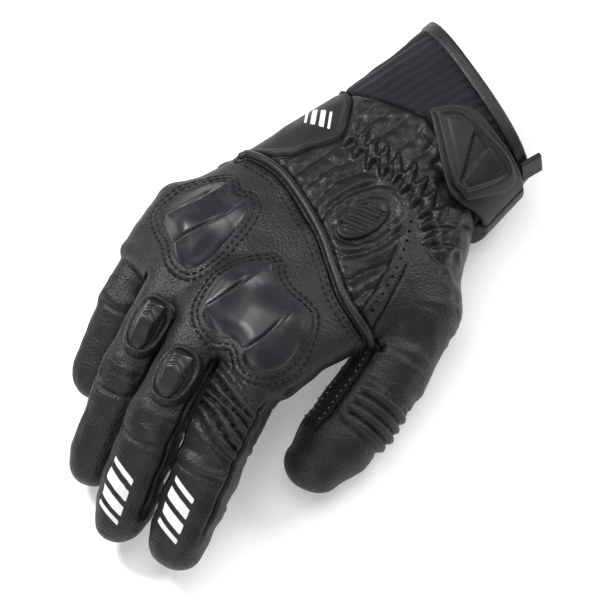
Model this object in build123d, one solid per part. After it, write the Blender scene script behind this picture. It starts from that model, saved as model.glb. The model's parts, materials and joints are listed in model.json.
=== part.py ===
from build123d import *
import math
import os

# Short-cuff riding glove for a right hand, lying palm down with the fingers curved.
# The fingers run along -Y, the thumb is on the +X side and +Z is the back of the hand.
# Units are millimetres and degrees. Z = 0 is the surface that the glove rests on.

# ---- driving dimensions -------------------------------------------------------------
CENTRE_X, CENTRE_Y = 2.7, -5.76  # middle of the glove's box, moved to the origin on export
WALL = 2.2  # leather and its lining together
LINING = 0.8  # inner share of that wall, in the hand and the cuff
SLACK = 0.4  # distance between a hinge line and the wall before it
FLEX_MARGIN = 3.0  # extra notch angle beyond a joint's range
FAR = 200.0  # longer than the glove is wide, for cutting solids
REACH = 60.0  # further than any finger reaches from a hinge line, square to the finger

# The hand is built on a skewed frame: u runs along the knuckle line towards the thumb,
# v runs from the knuckles towards the cuff.
HAND_SKEW = 30.0
HAND_X, HAND_Y = -19.5, -19.5

# Hand and cuff sections: v, left u, right u, bottom z, top z, roll (thumb side up).
HAND_SECTIONS = [
    (-42.0, -30.0, 78.0, 31.0, 56.0, 7.0),
    (-12.0, -42.0, 66.0, 27.0, 57.5, 7.0),
    (10.0, -47.0, 60.0, 22.0, 57.0, 6.0),
    (38.0, -48.0, 57.0, 12.0, 53.0, 4.0),
    (70.0, -51.0, 48.0, 1.5, 49.0, 1.0),
]
CUFF_SECTIONS = [
    (70.0, -51.0, 48.0, 1.5, 49.0, 1.0),
    (97.0, -53.5, 28.0, 1.5, 47.0, 0.0),
    (133.0, -59.0, 18.0, 0.8, 50.0, 0.0),
]
EDGE_ROUNDING = 0.48  # corner radius of a section as a share of its height
HAND_MID_Z, HAND_MID_SLOPE = 39.0, -0.12  # seam between the back and the palm, against v
PIPING_V = 38.0  # the welted seam across the back of the hand
HAND_END_V = 69.5  # end of the rigid hand panels
WRIST_START_V = 70.2  # start of the elastic between the hand and the cuff
CUFF_START_V = 91.0  # start of the rigid cuff panels
CUFF_END_V = 133.0

# Fingers: x, width, depth, then y, z of the base hinge, middle hinge, last bend and tip.
FINGERS = {
    "index": (14.5, 26.0, 25.5, (-63.0, 45.0), (-85.0, 40.5), (-110.0, 26.5), (-134.5, 11.5)),
    "middle": (-11.9, 24.0, 25.0, (-57.0, 46.5), (-89.0, 42.5), (-113.0, 26.5), (-132.5, 10.5)),
    "ring": (-35.0, 21.0, 23.5, (-41.5, 42.0), (-73.5, 37.0), (-96.0, 22.5), (-116.0, 9.0)),
    "little": (-55.4, 18.2, 20.5, (-25.0, 31.0), (-45.0, 25.5), (-63.0, 15.5), (-80.0, 8.5)),
}
TIP_TAPER = 0.86  # width at the finger end over the width at the base
HINGE_DROP = 0.16  # hinge line below the finger's middle, as a share of its depth
FINGER_SPLIT = 0.12  # seam above the finger's middle, as a share of its depth
BASE_RANGE = (-8.0, 30.0)
MIDDLE_RANGE = (-10.0, 45.0)

# Thumb: centres and half sizes from its root inside the hand, and where its back faces.
THUMB_ROOT = (44.0, 32.0, 24.0)
THUMB_MOUND = (53.0, 9.0, 22.0)
THUMB_KNUCKLE = (54.5, -18.0, 19.5)
THUMB_MIDDLE = (52.0, -43.0, 16.5)
THUMB_TIP = (41.5, -83.0, 10.5)
THUMB_SIZES = ((12.0, 12.0), (17.0, 16.0), (15.5, 13.5), (16.0, 12.5), (13.5, 11.0))
THUMB_BACK = (0.25, 0.0, 0.97)
THUMB_BASE_RANGE = (-8.0, 6.0)
THUMB_TIP_RANGE = (-8.0, 12.0)
THUMB_CLEARANCE = 2.5  # between the hand's side and the moving thumb

# The wrist bends about the line v = 80, z = 24, by 20 degrees each way.

# Knuckle armour: outline in x, y and a dome over each pair of knuckles.
ARMOUR = {
    "index_middle": (
        [(-4, -12), (7, -17), (14, -26), (24, -29), (29, -42), (25, -57), (14, -62),
         (4, -56), (-8, -54), (-14, -45), (-13, -30)],
        (7.0, -38.0, 65.5), 52.0,
    ),
    "ring_little": (
        [(-38, 16), (-29, 10), (-23, 2), (-24, -13), (-30, -27), (-39, -25), (-47, -19),
         (-55, -9), (-55, 0), (-49, 9)],
        (-38.0, -6.0, 60.5), 46.0,
    ),
}
ARMOUR_THICK = 2.2
PAD_SHARE = 0.84  # foam outline over the shell's outline

# Finger knuckle sliders: finger, centre y, length, width, height above the finger.
SLIDERS = {"middle": (-74.3, 23.5, 14.0, 5.0), "ring": (-59.3, 23.0, 13.0, 4.8)}
SLIDER_BASE = 1.6
SLIDER_RIM = 5.0  # how much wider and longer the padded base is than its slider
SLIDER_SINK = 6.0  # how deep the base reaches round the finger
SLIDER_TAPER = 22.0

RIB_COUNT, RIB_PITCH, RIB_HEIGHT = 5, 4.2, 1.6
RIB_START = 4.0  # from the middle hinge to the nearest rib
INDEX_RIB_LENGTH, THUMB_RIB_LENGTH = 16.0, 15.0
HEEL_PAD = ((-30.0, 30.0), (44.0, 67.0))  # u and v limits of the flat palm heel patch
HEEL_PAD_TOP = 14.0

# Wrist strap: outlines in u, v, and its layers as distances from the cuff's surface.
STRAP_OUTLINE = [(-14, 107), (-7, 120), (9, 124), (45, 126), (45, 103), (32, 103), (25, 95.5),
                 (17, 95), (-8, 104)]
GRIP_OUTLINE = [(-11, 108), (-5, 117.5), (9, 121.5), (24, 122), (24, 99), (17, 98), (-6, 106)]
RECESS_OUTLINE = [(6, 116), (13, 116.5), (19, 102)]
PATCH_OUTLINE = [(-9, 108), (-5, 115), (6, 119), (6, 101), (-4, 106)]
LOOP_LAYER, HOOK_LAYER, STRAP_LAYER, GRIP_LAYER = (0.0, 1.2), (1.6, 2.8), (2.8, 5.0), (5.0, 7.0)
STRAP_HINGE_V, STRAP_HINGE_Z = 111.0, 25.0
GRIP_START = 12.0  # how far above the peel line the moulded grip begins
STRAP_GAP = 0.5  # above and below the hinge line
ANCHOR_DROP = 17.0
BINDING = 3.2  # roll of leather round the cuff's mouth
TAB_THICK, TAB_WIDTH, TAB_Z = 2.0, 14.0, 30.0  # pull tab at the thumb edge of the mouth


# ---- frames and small helpers -------------------------------------------------------
def hand_point(u, v, z=0.0):
    """A point of the hand frame in the working frame."""
    a = math.radians(HAND_SKEW)
    x = HAND_X + u * math.cos(a) + v * math.sin(a)
    return (x, HAND_Y - u * math.sin(a) + v * math.cos(a), z)


def hand_plane(v, z=0.0, u=0.0):
    """Upright plane across the hand at v, with its x axis along u and its y axis up."""
    a = math.radians(HAND_SKEW)
    across = (math.cos(a), -math.sin(a), 0.0)
    towards_fingers = (-math.sin(a), -math.cos(a), 0.0)
    return Plane(origin=hand_point(u, v, z), x_dir=across, z_dir=towards_fingers)


def hand_block(u0, u1, v0, v1, z0, z1):
    """Box with its sides along the hand frame's axes."""
    centre = hand_point((u0 + u1) / 2, (v0 + v1) / 2, (z0 + z1) / 2)
    return Location(centre, (0, 0, -HAND_SKEW)) * Box(u1 - u0, v1 - v0, z1 - z0)


def hand_loft(sections, inset):
    """Closed solid through the given sections, made smaller all round by inset."""
    faces = []
    for v, left, right, bottom, top, roll in sections:
        height = top - bottom - 2 * inset
        shape = RectangleRounded(right - left - 2 * inset, height, EDGE_ROUNDING * height)
        plane = hand_plane(v, (bottom + top) / 2, (left + right) / 2)
        faces.append(plane * (Rotation(0, 0, roll) * shape))
    return loft(faces, ruled=True)


def yz_prism(points, x0, x1):
    """Solid over x0 to x1 with an outline given in y and z."""
    face = Plane.YZ.offset(x0) * make_face(Polyline(*points, close=True))
    return extrude(face, amount=x1 - x0)


def ellipse_on(centre, normal, across, half_width, half_depth):
    """Elliptical face at a point, its width along the across direction."""
    plane = Plane(origin=centre, x_dir=across, z_dir=normal)
    return plane * Ellipse(half_width, half_depth)


def tube_solid(points, across, half_sizes, inset=0.0):
    """Closed solid through ellipses set square to a bent centre line."""
    line = [Vector(*p) for p in points]
    faces = []
    for i, centre in enumerate(line):
        before, after = line[max(i - 1, 0)], line[min(i + 1, len(line) - 1)]
        half_width, half_depth = half_sizes[i]
        along = (after - before).normalized()
        faces.append(
            ellipse_on(centre, along, across, half_width - inset, half_depth - inset)
        )
    return loft(faces, ruled=True)


def keep_solids(shape):
    """The shape's solids of a useful size, as one compound."""
    return Compound(children=[s for s in shape.solids() if s.volume > 2.0])


def centred(shape):
    """Moves a finished shape so that the middle of the glove's box is the origin."""
    return Location((-CENTRE_X, -CENTRE_Y, 0)) * shape


# ---- fingers ------------------------------------------------------------------------
def finger_hinge(name, which):
    """Hinge point of a finger: 3 is the base hinge and 4 the middle hinge."""
    x, _, depth = FINGERS[name][:3]
    y, z = FINGERS[name][which]
    return (x, y, z - HINGE_DROP * depth)


def finger_line(name):
    """Centre line and half sizes of a finger from behind its base to its tip."""
    x, width, depth, base, middle, bend, tip = FINGERS[name]
    back = (base[0] + 12.0, base[1] + 1.5)
    near_tip = tuple(bend[i] + 0.72 * (tip[i] - bend[i]) for i in range(2))
    close_tip = tuple(bend[i] + 0.92 * (tip[i] - bend[i]) for i in range(2))
    stops = [back, base, middle, bend, near_tip, close_tip, tip]
    scale = [1.0, 1.0, 0.97, 0.92, TIP_TAPER, 0.7, 0.36]
    points = [(x, y, z) for y, z in stops]
    sizes = [(width / 2 * k, depth / 2 * k) for k in scale]
    return points, sizes


def finger_shell(name):
    """Hollow finger, open at its base and closed at its tip."""
    points, sizes = finger_line(name)
    outer = tube_solid(points, (1, 0, 0), sizes)
    inner_points, inner_sizes = points[:-1], sizes[:-1]
    inner = tube_solid(inner_points, (1, 0, 0), inner_sizes, WALL)
    return outer - inner


def joint_half(centre, along, axis, angles, side):
    """Everything beyond a hinge (side 1) or behind it (side -1).

    The faces lean away from the hinge by angles: first on the back, then on the palm side.
    """
    start = Vector(*centre)
    if side < 0:
        start = start - Vector(*along) * SLACK
    plane = Plane(origin=tuple(start), x_dir=along, z_dir=axis)
    back, palm = (math.radians(a) for a in angles)
    outline = [
        (0, 0),
        (side * REACH * math.sin(back), -REACH * math.cos(back)),
        (side * FAR, -REACH * math.cos(back)),
        (side * FAR, REACH * math.cos(palm)),
        (side * REACH * math.sin(palm), REACH * math.cos(palm)),
    ]
    face = plane * make_face(Polyline(*outline, close=True))
    return extrude(face, amount=FAR / 2, both=True)


def notch_angles(limits, share):
    """Lean of a joint's faces on the back and on the palm side, for its range."""
    return (share * (FLEX_MARGIN - limits[0]), share * (FLEX_MARGIN + limits[1]))


def before_y(y):
    """Everything on the cuff side of a plane square to the fingers."""
    return Location((0, y + FAR / 2, 0)) * Box(2 * FAR, FAR, 2 * FAR)


def finger_above(name):
    """Everything above a finger's side seam."""
    x, width, depth, base, middle, bend, tip = FINGERS[name]
    rise = FINGER_SPLIT * depth
    line = [(base[0] + 30, base[1] + 2 + rise)]
    line += [(y, z + rise) for y, z in (base, middle, bend, tip)]
    line += [(tip[0] - 20, tip[1] + rise - 12), (tip[0] - 20, FAR), (base[0] + 30, FAR)]
    return yz_prism(line, x - width, x + width)


def finger_slope(name, first, last):
    """Direction of a finger between two of its stations, as a unit vector."""
    (y0, z0), (y1, z1) = FINGERS[name][first], FINGERS[name][last]
    return Vector(0, y1 - y0, z1 - z0).normalized()


def finger_parts(name):
    """The rigid panels of one finger and the creased panels at its two joints."""
    shell = finger_shell(name)
    base, middle = finger_hinge(name, 3), finger_hinge(name, 4)
    above = finger_above(name)
    across = (1, 0, 0)
    mean = (finger_slope(name, 3, 4) + finger_slope(name, 4, 5)).normalized()
    half = notch_angles(MIDDLE_RANGE, 0.5)
    beyond_base = joint_half(base, (0, -1, 0), across, notch_angles(BASE_RANGE, 1.0), 1)
    before_middle = joint_half(middle, tuple(mean), across, half, -1)
    beyond_middle = joint_half(middle, tuple(mean), across, half, 1)
    outside = shell - before_y(base[1] + SLACK)
    first = (shell & beyond_base) & before_middle
    last = shell & beyond_middle
    parts = {
        f"{name}_back_lower": first & above,
        f"{name}_palm_lower": first - above,
        f"{name}_back_tip": last & above,
        f"{name}_palm_tip": last - above,
        f"{name}_knuckle_crease": (shell & beyond_base) - beyond_middle - before_middle,
    }
    return parts, outside - beyond_base


# ---- thumb --------------------------------------------------------------------------
def thumb_axis():
    """Direction that the thumb's joints turn about; positive bends it to the palm."""
    along = (Vector(*THUMB_MIDDLE) - Vector(*THUMB_KNUCKLE)).normalized()
    return Vector(*THUMB_BACK).normalized().cross(along).normalized()


def thumb_solid(inset):
    """Closed solid of the whole thumb, from inside the hand to its tip."""
    middle, tip = Vector(*THUMB_MIDDLE), Vector(*THUMB_TIP)
    near, close = middle + (tip - middle) * 0.7, middle + (tip - middle) * 0.92
    stops = [THUMB_ROOT, THUMB_MOUND, THUMB_KNUCKLE, THUMB_MIDDLE, tuple(near), tuple(close),
             THUMB_TIP]
    wide, deep = THUMB_SIZES[-1]
    sizes = [*THUMB_SIZES, (0.78 * wide, 0.78 * deep), (0.4 * wide, 0.4 * deep)]
    if inset > 0:
        stops, sizes = stops[:-1], sizes[:-1]
    return tube_solid(stops, tuple(thumb_axis()), sizes, inset)


def thumb_half(centre, limits, share, side):
    """Everything on one side of a thumb hinge, leaning away for the joint's range."""
    axis = thumb_axis()
    along = axis.cross(Vector(*THUMB_BACK).normalized())
    return joint_half(centre, tuple(along), tuple(axis), notch_angles(limits, share), side)


def thumb_above():
    """Everything on the back side of the thumb's side seam."""
    back = Vector(*THUMB_BACK).normalized()
    start = Vector(*THUMB_MIDDLE) + back * 1.0
    plane = Plane(origin=tuple(start), z_dir=tuple(back))
    return extrude(plane * Rectangle(2 * FAR, 2 * FAR), amount=FAR / 2)


# ---- hand and cuff ------------------------------------------------------------------
def hand_back_side():
    """Everything above the seam between the back and the palm."""
    z0 = HAND_MID_Z + HAND_MID_SLOPE * -FAR
    z1 = HAND_MID_Z + HAND_MID_SLOPE * FAR
    plane = Plane(origin=hand_point(-FAR, 0, 0), x_dir=hand_direction(0, 1),
                  z_dir=hand_direction(1, 0))
    side = 1.0 if plane.y_dir.Z > 0 else -1.0
    outline = [(-FAR, side * z0), (FAR, side * z1), (FAR, side * FAR), (-FAR, side * FAR)]
    return extrude(plane * make_face(Polyline(*outline, close=True)), amount=2 * FAR)


def hand_direction(u, v):
    """A direction of the hand frame in the working frame."""
    a, b = hand_point(u, v), hand_point(0, 0)
    return tuple(p - q for p, q in zip(a, b))


def hand_end_cutter():
    """What is cut off the hand at each finger's base hinge."""
    cutter = None
    gap = 0.6
    edges = {"index": (1.0, FAR), "middle": (-24.2, 1.0), "ring": (-46.0, -24.2),
             "little": (-FAR, -46.0)}
    for name, (x0, x1) in edges.items():
        y = FINGERS[name][3][0] + SLACK
        box = Location(((x0 + x1) / 2, y - FAR / 2, 0)) * Box(x1 - x0 + gap, FAR, FAR)
        cutter = box if cutter is None else cutter + box
    return cutter


def hand_parts():
    """Back, palm and lining of the hand, its piping, side patch and heel patch."""
    outer, middle = hand_loft(HAND_SECTIONS, 0), hand_loft(HAND_SECTIONS, WALL - LINING)
    inner = hand_loft(stretched(HAND_SECTIONS), WALL)
    middle_long = hand_loft(stretched(HAND_SECTIONS), WALL - LINING)
    rear = hand_block(-FAR, FAR, HAND_END_V, FAR, -FAR, FAR)
    cut = hand_end_cutter() + rear
    above = hand_back_side()
    skin = outer - middle_long - cut
    thumb_outer, thumb_inner = thumb_solid(0), thumb_solid(WALL)
    thumb_path = thumb_solid(-THUMB_CLEARANCE) & thumb_half(
        THUMB_KNUCKLE, THUMB_BASE_RANGE, 0.0, 1)
    cut = cut + thumb_path
    skin = skin - thumb_inner - thumb_path
    lining = (middle & middle_long) - inner - cut - thumb_inner
    front = hand_block(-FAR, FAR, -FAR, PIPING_V, -FAR, FAR)
    heel = hand_block(*HEEL_PAD[0], *HEEL_PAD[1], 0, HEEL_PAD_TOP)
    back = skin & above
    ring = hand_loft(HAND_SECTIONS, -1.6) - outer
    piping = (ring & hand_block(-FAR, FAR, PIPING_V - 1.5, PIPING_V + 1.5, -FAR, FAR)) & above
    patch = hand_loft(HAND_SECTIONS, -1.0) - outer
    patch = (patch & hand_block(-FAR, -32, 42, 66, -FAR, FAR)) & above
    saddle = (thumb_outer - thumb_inner - outer - rear) & thumb_half(
        THUMB_KNUCKLE, THUMB_BASE_RANGE, 0.0, -1)
    return {
        "knuckle_back_panel": back & front,
        "wrist_back_panel": back - front,
        "palm_panel": skin - above - heel,
        "hand_lining": lining,
        "knuckle_piping": piping,
        "side_badge_patch": patch,
        "palm_heel_patch": heel - hand_loft(HAND_SECTIONS, WALL - LINING),
        "thumb_saddle": saddle - heel,
    }


def stretched(sections):
    """The same sections with both ends moved a little outwards, for cutting a hollow."""
    first, last = list(sections[0]), list(sections[-1])
    first[0] -= 0.5
    last[0] += 0.5
    return [tuple(first), *sections[1:-1], tuple(last)]


def cuff_parts():
    """Back and palm of the cuff, its lining and binding, and the elastic wrist between."""
    outer = hand_loft(CUFF_SECTIONS, 0)
    middle = hand_loft(stretched(CUFF_SECTIONS), WALL - LINING)
    inner = hand_loft(stretched(CUFF_SECTIONS), WALL)
    above = hand_back_side()
    cuff = hand_block(-FAR, FAR, CUFF_START_V, CUFF_END_V - BINDING, -FAR, FAR)
    wrist = hand_block(-FAR, FAR, WRIST_START_V, CUFF_START_V - SLACK, -FAR, FAR)
    mouth = hand_block(-FAR, FAR, CUFF_END_V - BINDING, CUFF_END_V, -FAR, FAR)
    skin, band = outer - middle, outer - inner
    lining = (middle - inner) & cuff
    last = CUFF_SECTIONS[-1]
    grown = [(v, a - 1.0, b + 1.0, c, d + 1.0, r) for v, a, b, c, d, r in CUFF_SECTIONS[1:]]
    binding = (hand_loft(grown, 0) - hand_loft(stretched(CUFF_SECTIONS[1:]), WALL)) & mouth
    tab = hand_block(last[2], last[2] + TAB_THICK + 1.0, CUFF_END_V - 5, CUFF_END_V + 6,
                     TAB_Z - TAB_WIDTH / 2, TAB_Z + TAB_WIDTH / 2)
    return {
        "cuff_back_panel": (skin & cuff) & above,
        "cuff_palm_panel": (skin & cuff) - above,
        "cuff_lining": lining,
        "cuff_binding": binding,
        "cuff_pull_tab": tab - hand_loft(grown, 0),
        "wrist_elastic_back": (band & wrist) & above,
        "wrist_elastic_palm": (band & wrist) - above,
    }


# ---- strap --------------------------------------------------------------------------
def cuff_layer(layer, outline, z0, z1):
    """Sheet lying round the cuff between two distances from it, within an outline."""
    corners = [hand_point(u, v) for u, v in outline]
    prism = extrude(Location((0, 0, z0)) * make_face(Polyline(*corners, close=True)),
                    amount=z1 - z0)
    return (hand_loft(CUFF_SECTIONS, -layer[1]) & prism) - hand_loft(CUFF_SECTIONS, -layer[0])


def strap_parts():
    """Strap, its moulded grip and hook patch, and the loop patch and anchor on the cuff."""
    z = STRAP_HINGE_Z
    top = z + REACH
    grip = cuff_layer(GRIP_LAYER, GRIP_OUTLINE, z + GRIP_START, top)
    recess = cuff_layer(GRIP_LAYER, RECESS_OUTLINE, z + GRIP_START, top)
    return {
        "strap_grip_moulding": grip - recess,
        "strap_leather": cuff_layer(STRAP_LAYER, STRAP_OUTLINE, z + STRAP_GAP, top),
        "strap_hook_patch": cuff_layer(HOOK_LAYER, PATCH_OUTLINE, z + STRAP_GAP, top),
        "strap_loop_patch": cuff_layer(LOOP_LAYER, PATCH_OUTLINE, z + STRAP_GAP, top),
        "strap_anchor": cuff_layer((0.1, STRAP_LAYER[1]), STRAP_OUTLINE,
                                   z - ANCHOR_DROP, z - STRAP_GAP),
    }


# ---- armour and ribs ----------------------------------------------------------------
def armour_parts():
    """Each pair of knuckles has a hard shell over a foam pad."""
    hand = hand_loft(HAND_SECTIONS, 0)
    parts = {}
    for name, (outline, crown, radius) in ARMOUR.items():
        edge = make_face(Spline(*outline, periodic=True))
        column = extrude(edge, amount=FAR / 2)
        inner = [tuple(c + PAD_SHARE * (p - c) for p, c in zip(point, crown))
                 for point in outline]
        slim = extrude(make_face(Spline(*inner, periodic=True)), amount=FAR / 2)
        centre = Location((crown[0], crown[1], crown[2] - radius))
        shell = column & (centre * Sphere(radius) - centre * Sphere(radius - ARMOUR_THICK))
        pad = slim & (centre * Sphere(radius - ARMOUR_THICK)) - hand
        parts[f"{name}_knuckle_shell"] = keep_upper(shell - hand)
        parts[f"{name}_knuckle_foam"] = keep_upper(pad)
    return parts


def keep_upper(shape):
    """Only the solids above the middle of the hand."""
    return Compound(children=[s for s in shape.solids()
                              if s.center().Z > 40 and s.volume > 5])


def slider_parts():
    """A hard slider on a padded base, on the back of two fingers."""
    parts = {}
    for name, (y, length, width, height) in SLIDERS.items():
        x, _, depth, base, middle = FINGERS[name][:5]
        share = (y - base[0]) / (middle[0] - base[0])
        z = base[1] + share * (middle[1] - base[1]) + depth / 2
        slope = math.degrees(math.atan2(base[1] - middle[1], base[0] - middle[0]))
        seat = Location((x, y, z), (slope, 0, 0))
        finger = tube_solid(finger_line(name)[0], (1, 0, 0), finger_line(name)[1])
        pad = SlotOverall(length + SLIDER_RIM, width + SLIDER_RIM, rotation=90)
        base_pad = seat * Location((0, 0, -SLIDER_SINK)) * extrude(pad, amount=SLIDER_SINK + SLIDER_BASE)
        block = extrude(SlotOverall(length, width, rotation=90), amount=height, taper=SLIDER_TAPER)
        parts[f"{name}_slider_base"] = base_pad - finger
        parts[f"{name}_knuckle_slider"] = seat * Location((0, 0, SLIDER_BASE)) * block
    return parts


def rib_parts():
    """Stretch ribs on the back of the index finger and of the thumb."""
    x, _, depth, base, middle = FINGERS["index"][:5]
    finger = tube_solid(finger_line("index")[0], (1, 0, 0), finger_line("index")[1])
    ribs = []
    for i in range(RIB_COUNT - 1):
        y = middle[0] + RIB_START + i * RIB_PITCH
        z = middle[1] + (y - middle[0]) * (base[1] - middle[1]) / (base[0] - middle[0])
        bar = Location((x + 1, y, z + depth / 2), (0, 90, 0)) * Cylinder(RIB_HEIGHT, INDEX_RIB_LENGTH)
        ribs += (bar - finger).solids()
    thumb = thumb_solid(0)
    back, start, end = Vector(*THUMB_BACK).normalized(), Vector(*THUMB_KNUCKLE), Vector(*THUMB_MIDDLE)
    along = (end - start).normalized()
    thumb_ribs = []
    for i in range(RIB_COUNT - 1):
        centre = end - along * (RIB_START + i * RIB_PITCH) + back * THUMB_SIZES[3][1]
        plane = Plane(origin=tuple(centre), z_dir=tuple(thumb_axis()))
        thumb_ribs += (plane * Cylinder(RIB_HEIGHT, THUMB_RIB_LENGTH) - thumb).solids()
    return {
        "index_stretch_ribs": Compound(children=[s for s in ribs if s.volume > 2]),
        "thumb_stretch_ribs": Compound(children=[s for s in thumb_ribs if s.volume > 2]),
    }


# ---- the whole glove ----------------------------------------------------------------
def build():
    """Every node of the glove by name, in the working frame."""
    parts = {}
    creases = []
    for name in FINGERS:
        made, base_crease = finger_parts(name)
        parts.update(made)
        creases.append(base_crease)
    thumb = thumb_solid(0) - thumb_solid(WALL)
    beyond_knuckle = thumb_half(THUMB_KNUCKLE, THUMB_BASE_RANGE, 1.0, 1)
    before_knuckle = thumb_half(THUMB_KNUCKLE, THUMB_BASE_RANGE, 0.0, -1)
    beyond_middle = thumb_half(THUMB_MIDDLE, THUMB_TIP_RANGE, 0.5, 1)
    before_middle = thumb_half(THUMB_MIDDLE, THUMB_TIP_RANGE, 0.5, -1)
    above = thumb_above()
    first, last = (thumb & beyond_knuckle) & before_middle, thumb & beyond_middle
    parts["thumb_back_lower"], parts["thumb_palm_lower"] = first & above, first - above
    parts["thumb_back_tip"], parts["thumb_palm_tip"] = last & above, last - above
    parts["thumb_knuckle_crease"] = (thumb & beyond_knuckle) - beyond_middle - before_middle
    hand = hand_loft(HAND_SECTIONS, 0)
    creases.append(thumb - beyond_knuckle - before_knuckle - hand)
    parts["finger_base_creases"] = Compound(
        children=[s for c in creases for s in c.solids()])
    for made in (hand_parts(), cuff_parts(), strap_parts(), armour_parts(),
                 slider_parts(), rib_parts()):
        parts.update(made)
    return {name: centred(keep_solids(shape)) for name, shape in parts.items()}


def main():
    os.makedirs("parts", exist_ok=True)
    parts = build()
    low, high = [1e9] * 3, [-1e9] * 3
    for name, shape in parts.items():
        export_step(shape, f"parts/{name}.step")
        box = shape.bounding_box()
        low = [min(a, b) for a, b in zip(low, tuple(box.min))]
        high = [max(a, b) for a, b in zip(high, tuple(box.max))]
        print(f"{name:26s} solids {len(shape.solids())} z {box.min.Z:6.2f} {box.max.Z:6.2f}")
    print("nodes", len(parts), "low", [round(v, 2) for v in low],
          "high", [round(v, 2) for v in high])


if __name__ == "__main__":
    main()
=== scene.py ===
import json
import math

import bpy
import numpy as np
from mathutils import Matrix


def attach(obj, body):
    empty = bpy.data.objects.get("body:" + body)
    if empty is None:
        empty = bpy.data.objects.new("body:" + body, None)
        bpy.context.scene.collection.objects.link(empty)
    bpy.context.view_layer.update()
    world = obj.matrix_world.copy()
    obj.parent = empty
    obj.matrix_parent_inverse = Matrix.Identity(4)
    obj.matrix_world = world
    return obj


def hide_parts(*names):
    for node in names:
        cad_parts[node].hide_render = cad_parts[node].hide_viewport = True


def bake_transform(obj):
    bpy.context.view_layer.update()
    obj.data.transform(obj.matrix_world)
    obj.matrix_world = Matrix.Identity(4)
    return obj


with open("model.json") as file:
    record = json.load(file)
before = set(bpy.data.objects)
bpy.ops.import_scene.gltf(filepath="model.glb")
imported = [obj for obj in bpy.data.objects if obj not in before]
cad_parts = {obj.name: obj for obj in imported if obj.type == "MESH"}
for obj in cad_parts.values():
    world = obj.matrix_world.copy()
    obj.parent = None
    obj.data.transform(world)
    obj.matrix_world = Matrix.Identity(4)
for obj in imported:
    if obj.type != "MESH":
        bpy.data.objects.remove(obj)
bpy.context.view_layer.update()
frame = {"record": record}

import openvdb
from mathutils import Matrix, Vector

# A short-cuff riding glove for a right hand. The skin is one closed form, made as a smooth union of
# a hand, four fingers, a thumb and a cuff, then cut into pieces across the joints. All
# lengths in this file are millimetres, and meshes are scaled to metres when they are built.

VOXEL = 0.8
JOINTS = {j["name"]: j for j in frame["record"]["behaviour"]["joints"]}


def joint_at(name):
    """A joint's point, in millimetres."""
    return np.array(JOINTS[name]["pos_m"]) * 1000.0


# ---- hand frame: u along the knuckles towards the thumb, v towards the cuff ----------------------
CROSS = np.array(JOINTS["wrist_flex"]["axis"][:2])
ALONG = np.array([-CROSS[1], CROSS[0]])
ORIGIN = joint_at("wrist_flex")[:2] + 2.0 * CROSS - 80.0 * ALONG
KNUCKLE_SHIFT = np.array([-2.7, 5.76])  # plan outlines are drawn from a point near the knuckles


def to_uv(x, y):
    dx, dy = x - ORIGIN[0], y - ORIGIN[1]
    return dx * CROSS[0] + dy * CROSS[1], dx * ALONG[0] + dy * ALONG[1]


def from_uv(u, v):
    return ORIGIN[0] + u * CROSS[0] + v * ALONG[0], ORIGIN[1] + u * CROSS[1] + v * ALONG[1]


def plan(points):
    """Outline points in the row frame."""
    return np.array(points, float) + KNUCKLE_SHIFT


# Sections of the hand and cuff: v, left u, right u, bottom z, top z, roll.
SECTIONS = np.array([
    (-60, -26, 80, 34, 52, 7), (-42, -34, 76, 31, 54.5, 7), (-12, -42.5, 66, 27, 57.5, 7),
    (10, -47, 60, 22, 57, 6), (38, -48, 57, 11, 53.5, 4), (70, -51, 47, 2, 50, 1),
    (97, -53, 30, 1.5, 48, 0), (133, -58.5, 18.5, 1.2, 50, 0), (150, -60, 15, 1.2, 50, 0),
], float)
CUFF_END = 131.5

# Fingers: base joint, middle joint, width, depth, then the last bend and the tip from the middle
# joint as steps in y and z, and the rise of the centre line over the hinge line.
FINGERS = {
    "index": (26.6, 25.5, (-25.0, -14.0), (-49.5, -29.0), 4.08),
    "middle": (24.6, 25.0, (-24.0, -16.0), (-43.5, -32.0), 4.0),
    "ring": (22.0, 23.5, (-22.5, -14.5), (-42.5, -28.0), 3.76),
    "little": (19.6, 20.5, (-18.0, -10.0), (-35.0, -17.0), 3.28),
}
# Thumb centre line from its knuckle, as steps in x, y, z, with half its width and depth.
THUMB = [(-10.5, 50, 4.5, 13, 13), (-1.5, 27, 2.5, 17, 16.5), (0, 0, 0, 16, 14.2),
         (-1.2, -14, -1.6, 15.2, 12.6), (-2.5, -25, -3, 15.8, 13), (-5.5, -39, -4.8, 15.2, 12.2),
         (-8.8, -51, -6.6, 12.6, 10.4)]


def smin(a, b, k):
    h = np.clip(0.5 + 0.5 * (b - a) / k, 0, 1)
    return b + (a - b) * h - k * h * (1 - h)


def smax(a, b, k):
    return -smin(-a, -b, k)


def step(lo, hi, x):
    t = np.clip((x - lo) / (hi - lo), 0, 1)
    return t * t * (3 - 2 * t)


def super_sd(p, q, a, b, n):
    """Signed distance to a rounded-box section with half sizes a and b, near its surface."""
    x, y = np.abs(p) / a, np.abs(q) / b
    f = (x ** n + y ** n + 1e-9) ** (1.0 / n)
    g = np.sqrt((x ** (n - 1) / a) ** 2 + (y ** (n - 1) / b) ** 2) * f ** (1 - n)
    return (f - 1) / np.maximum(g, 1.0 / np.maximum(a, b) * 0.5)


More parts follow.
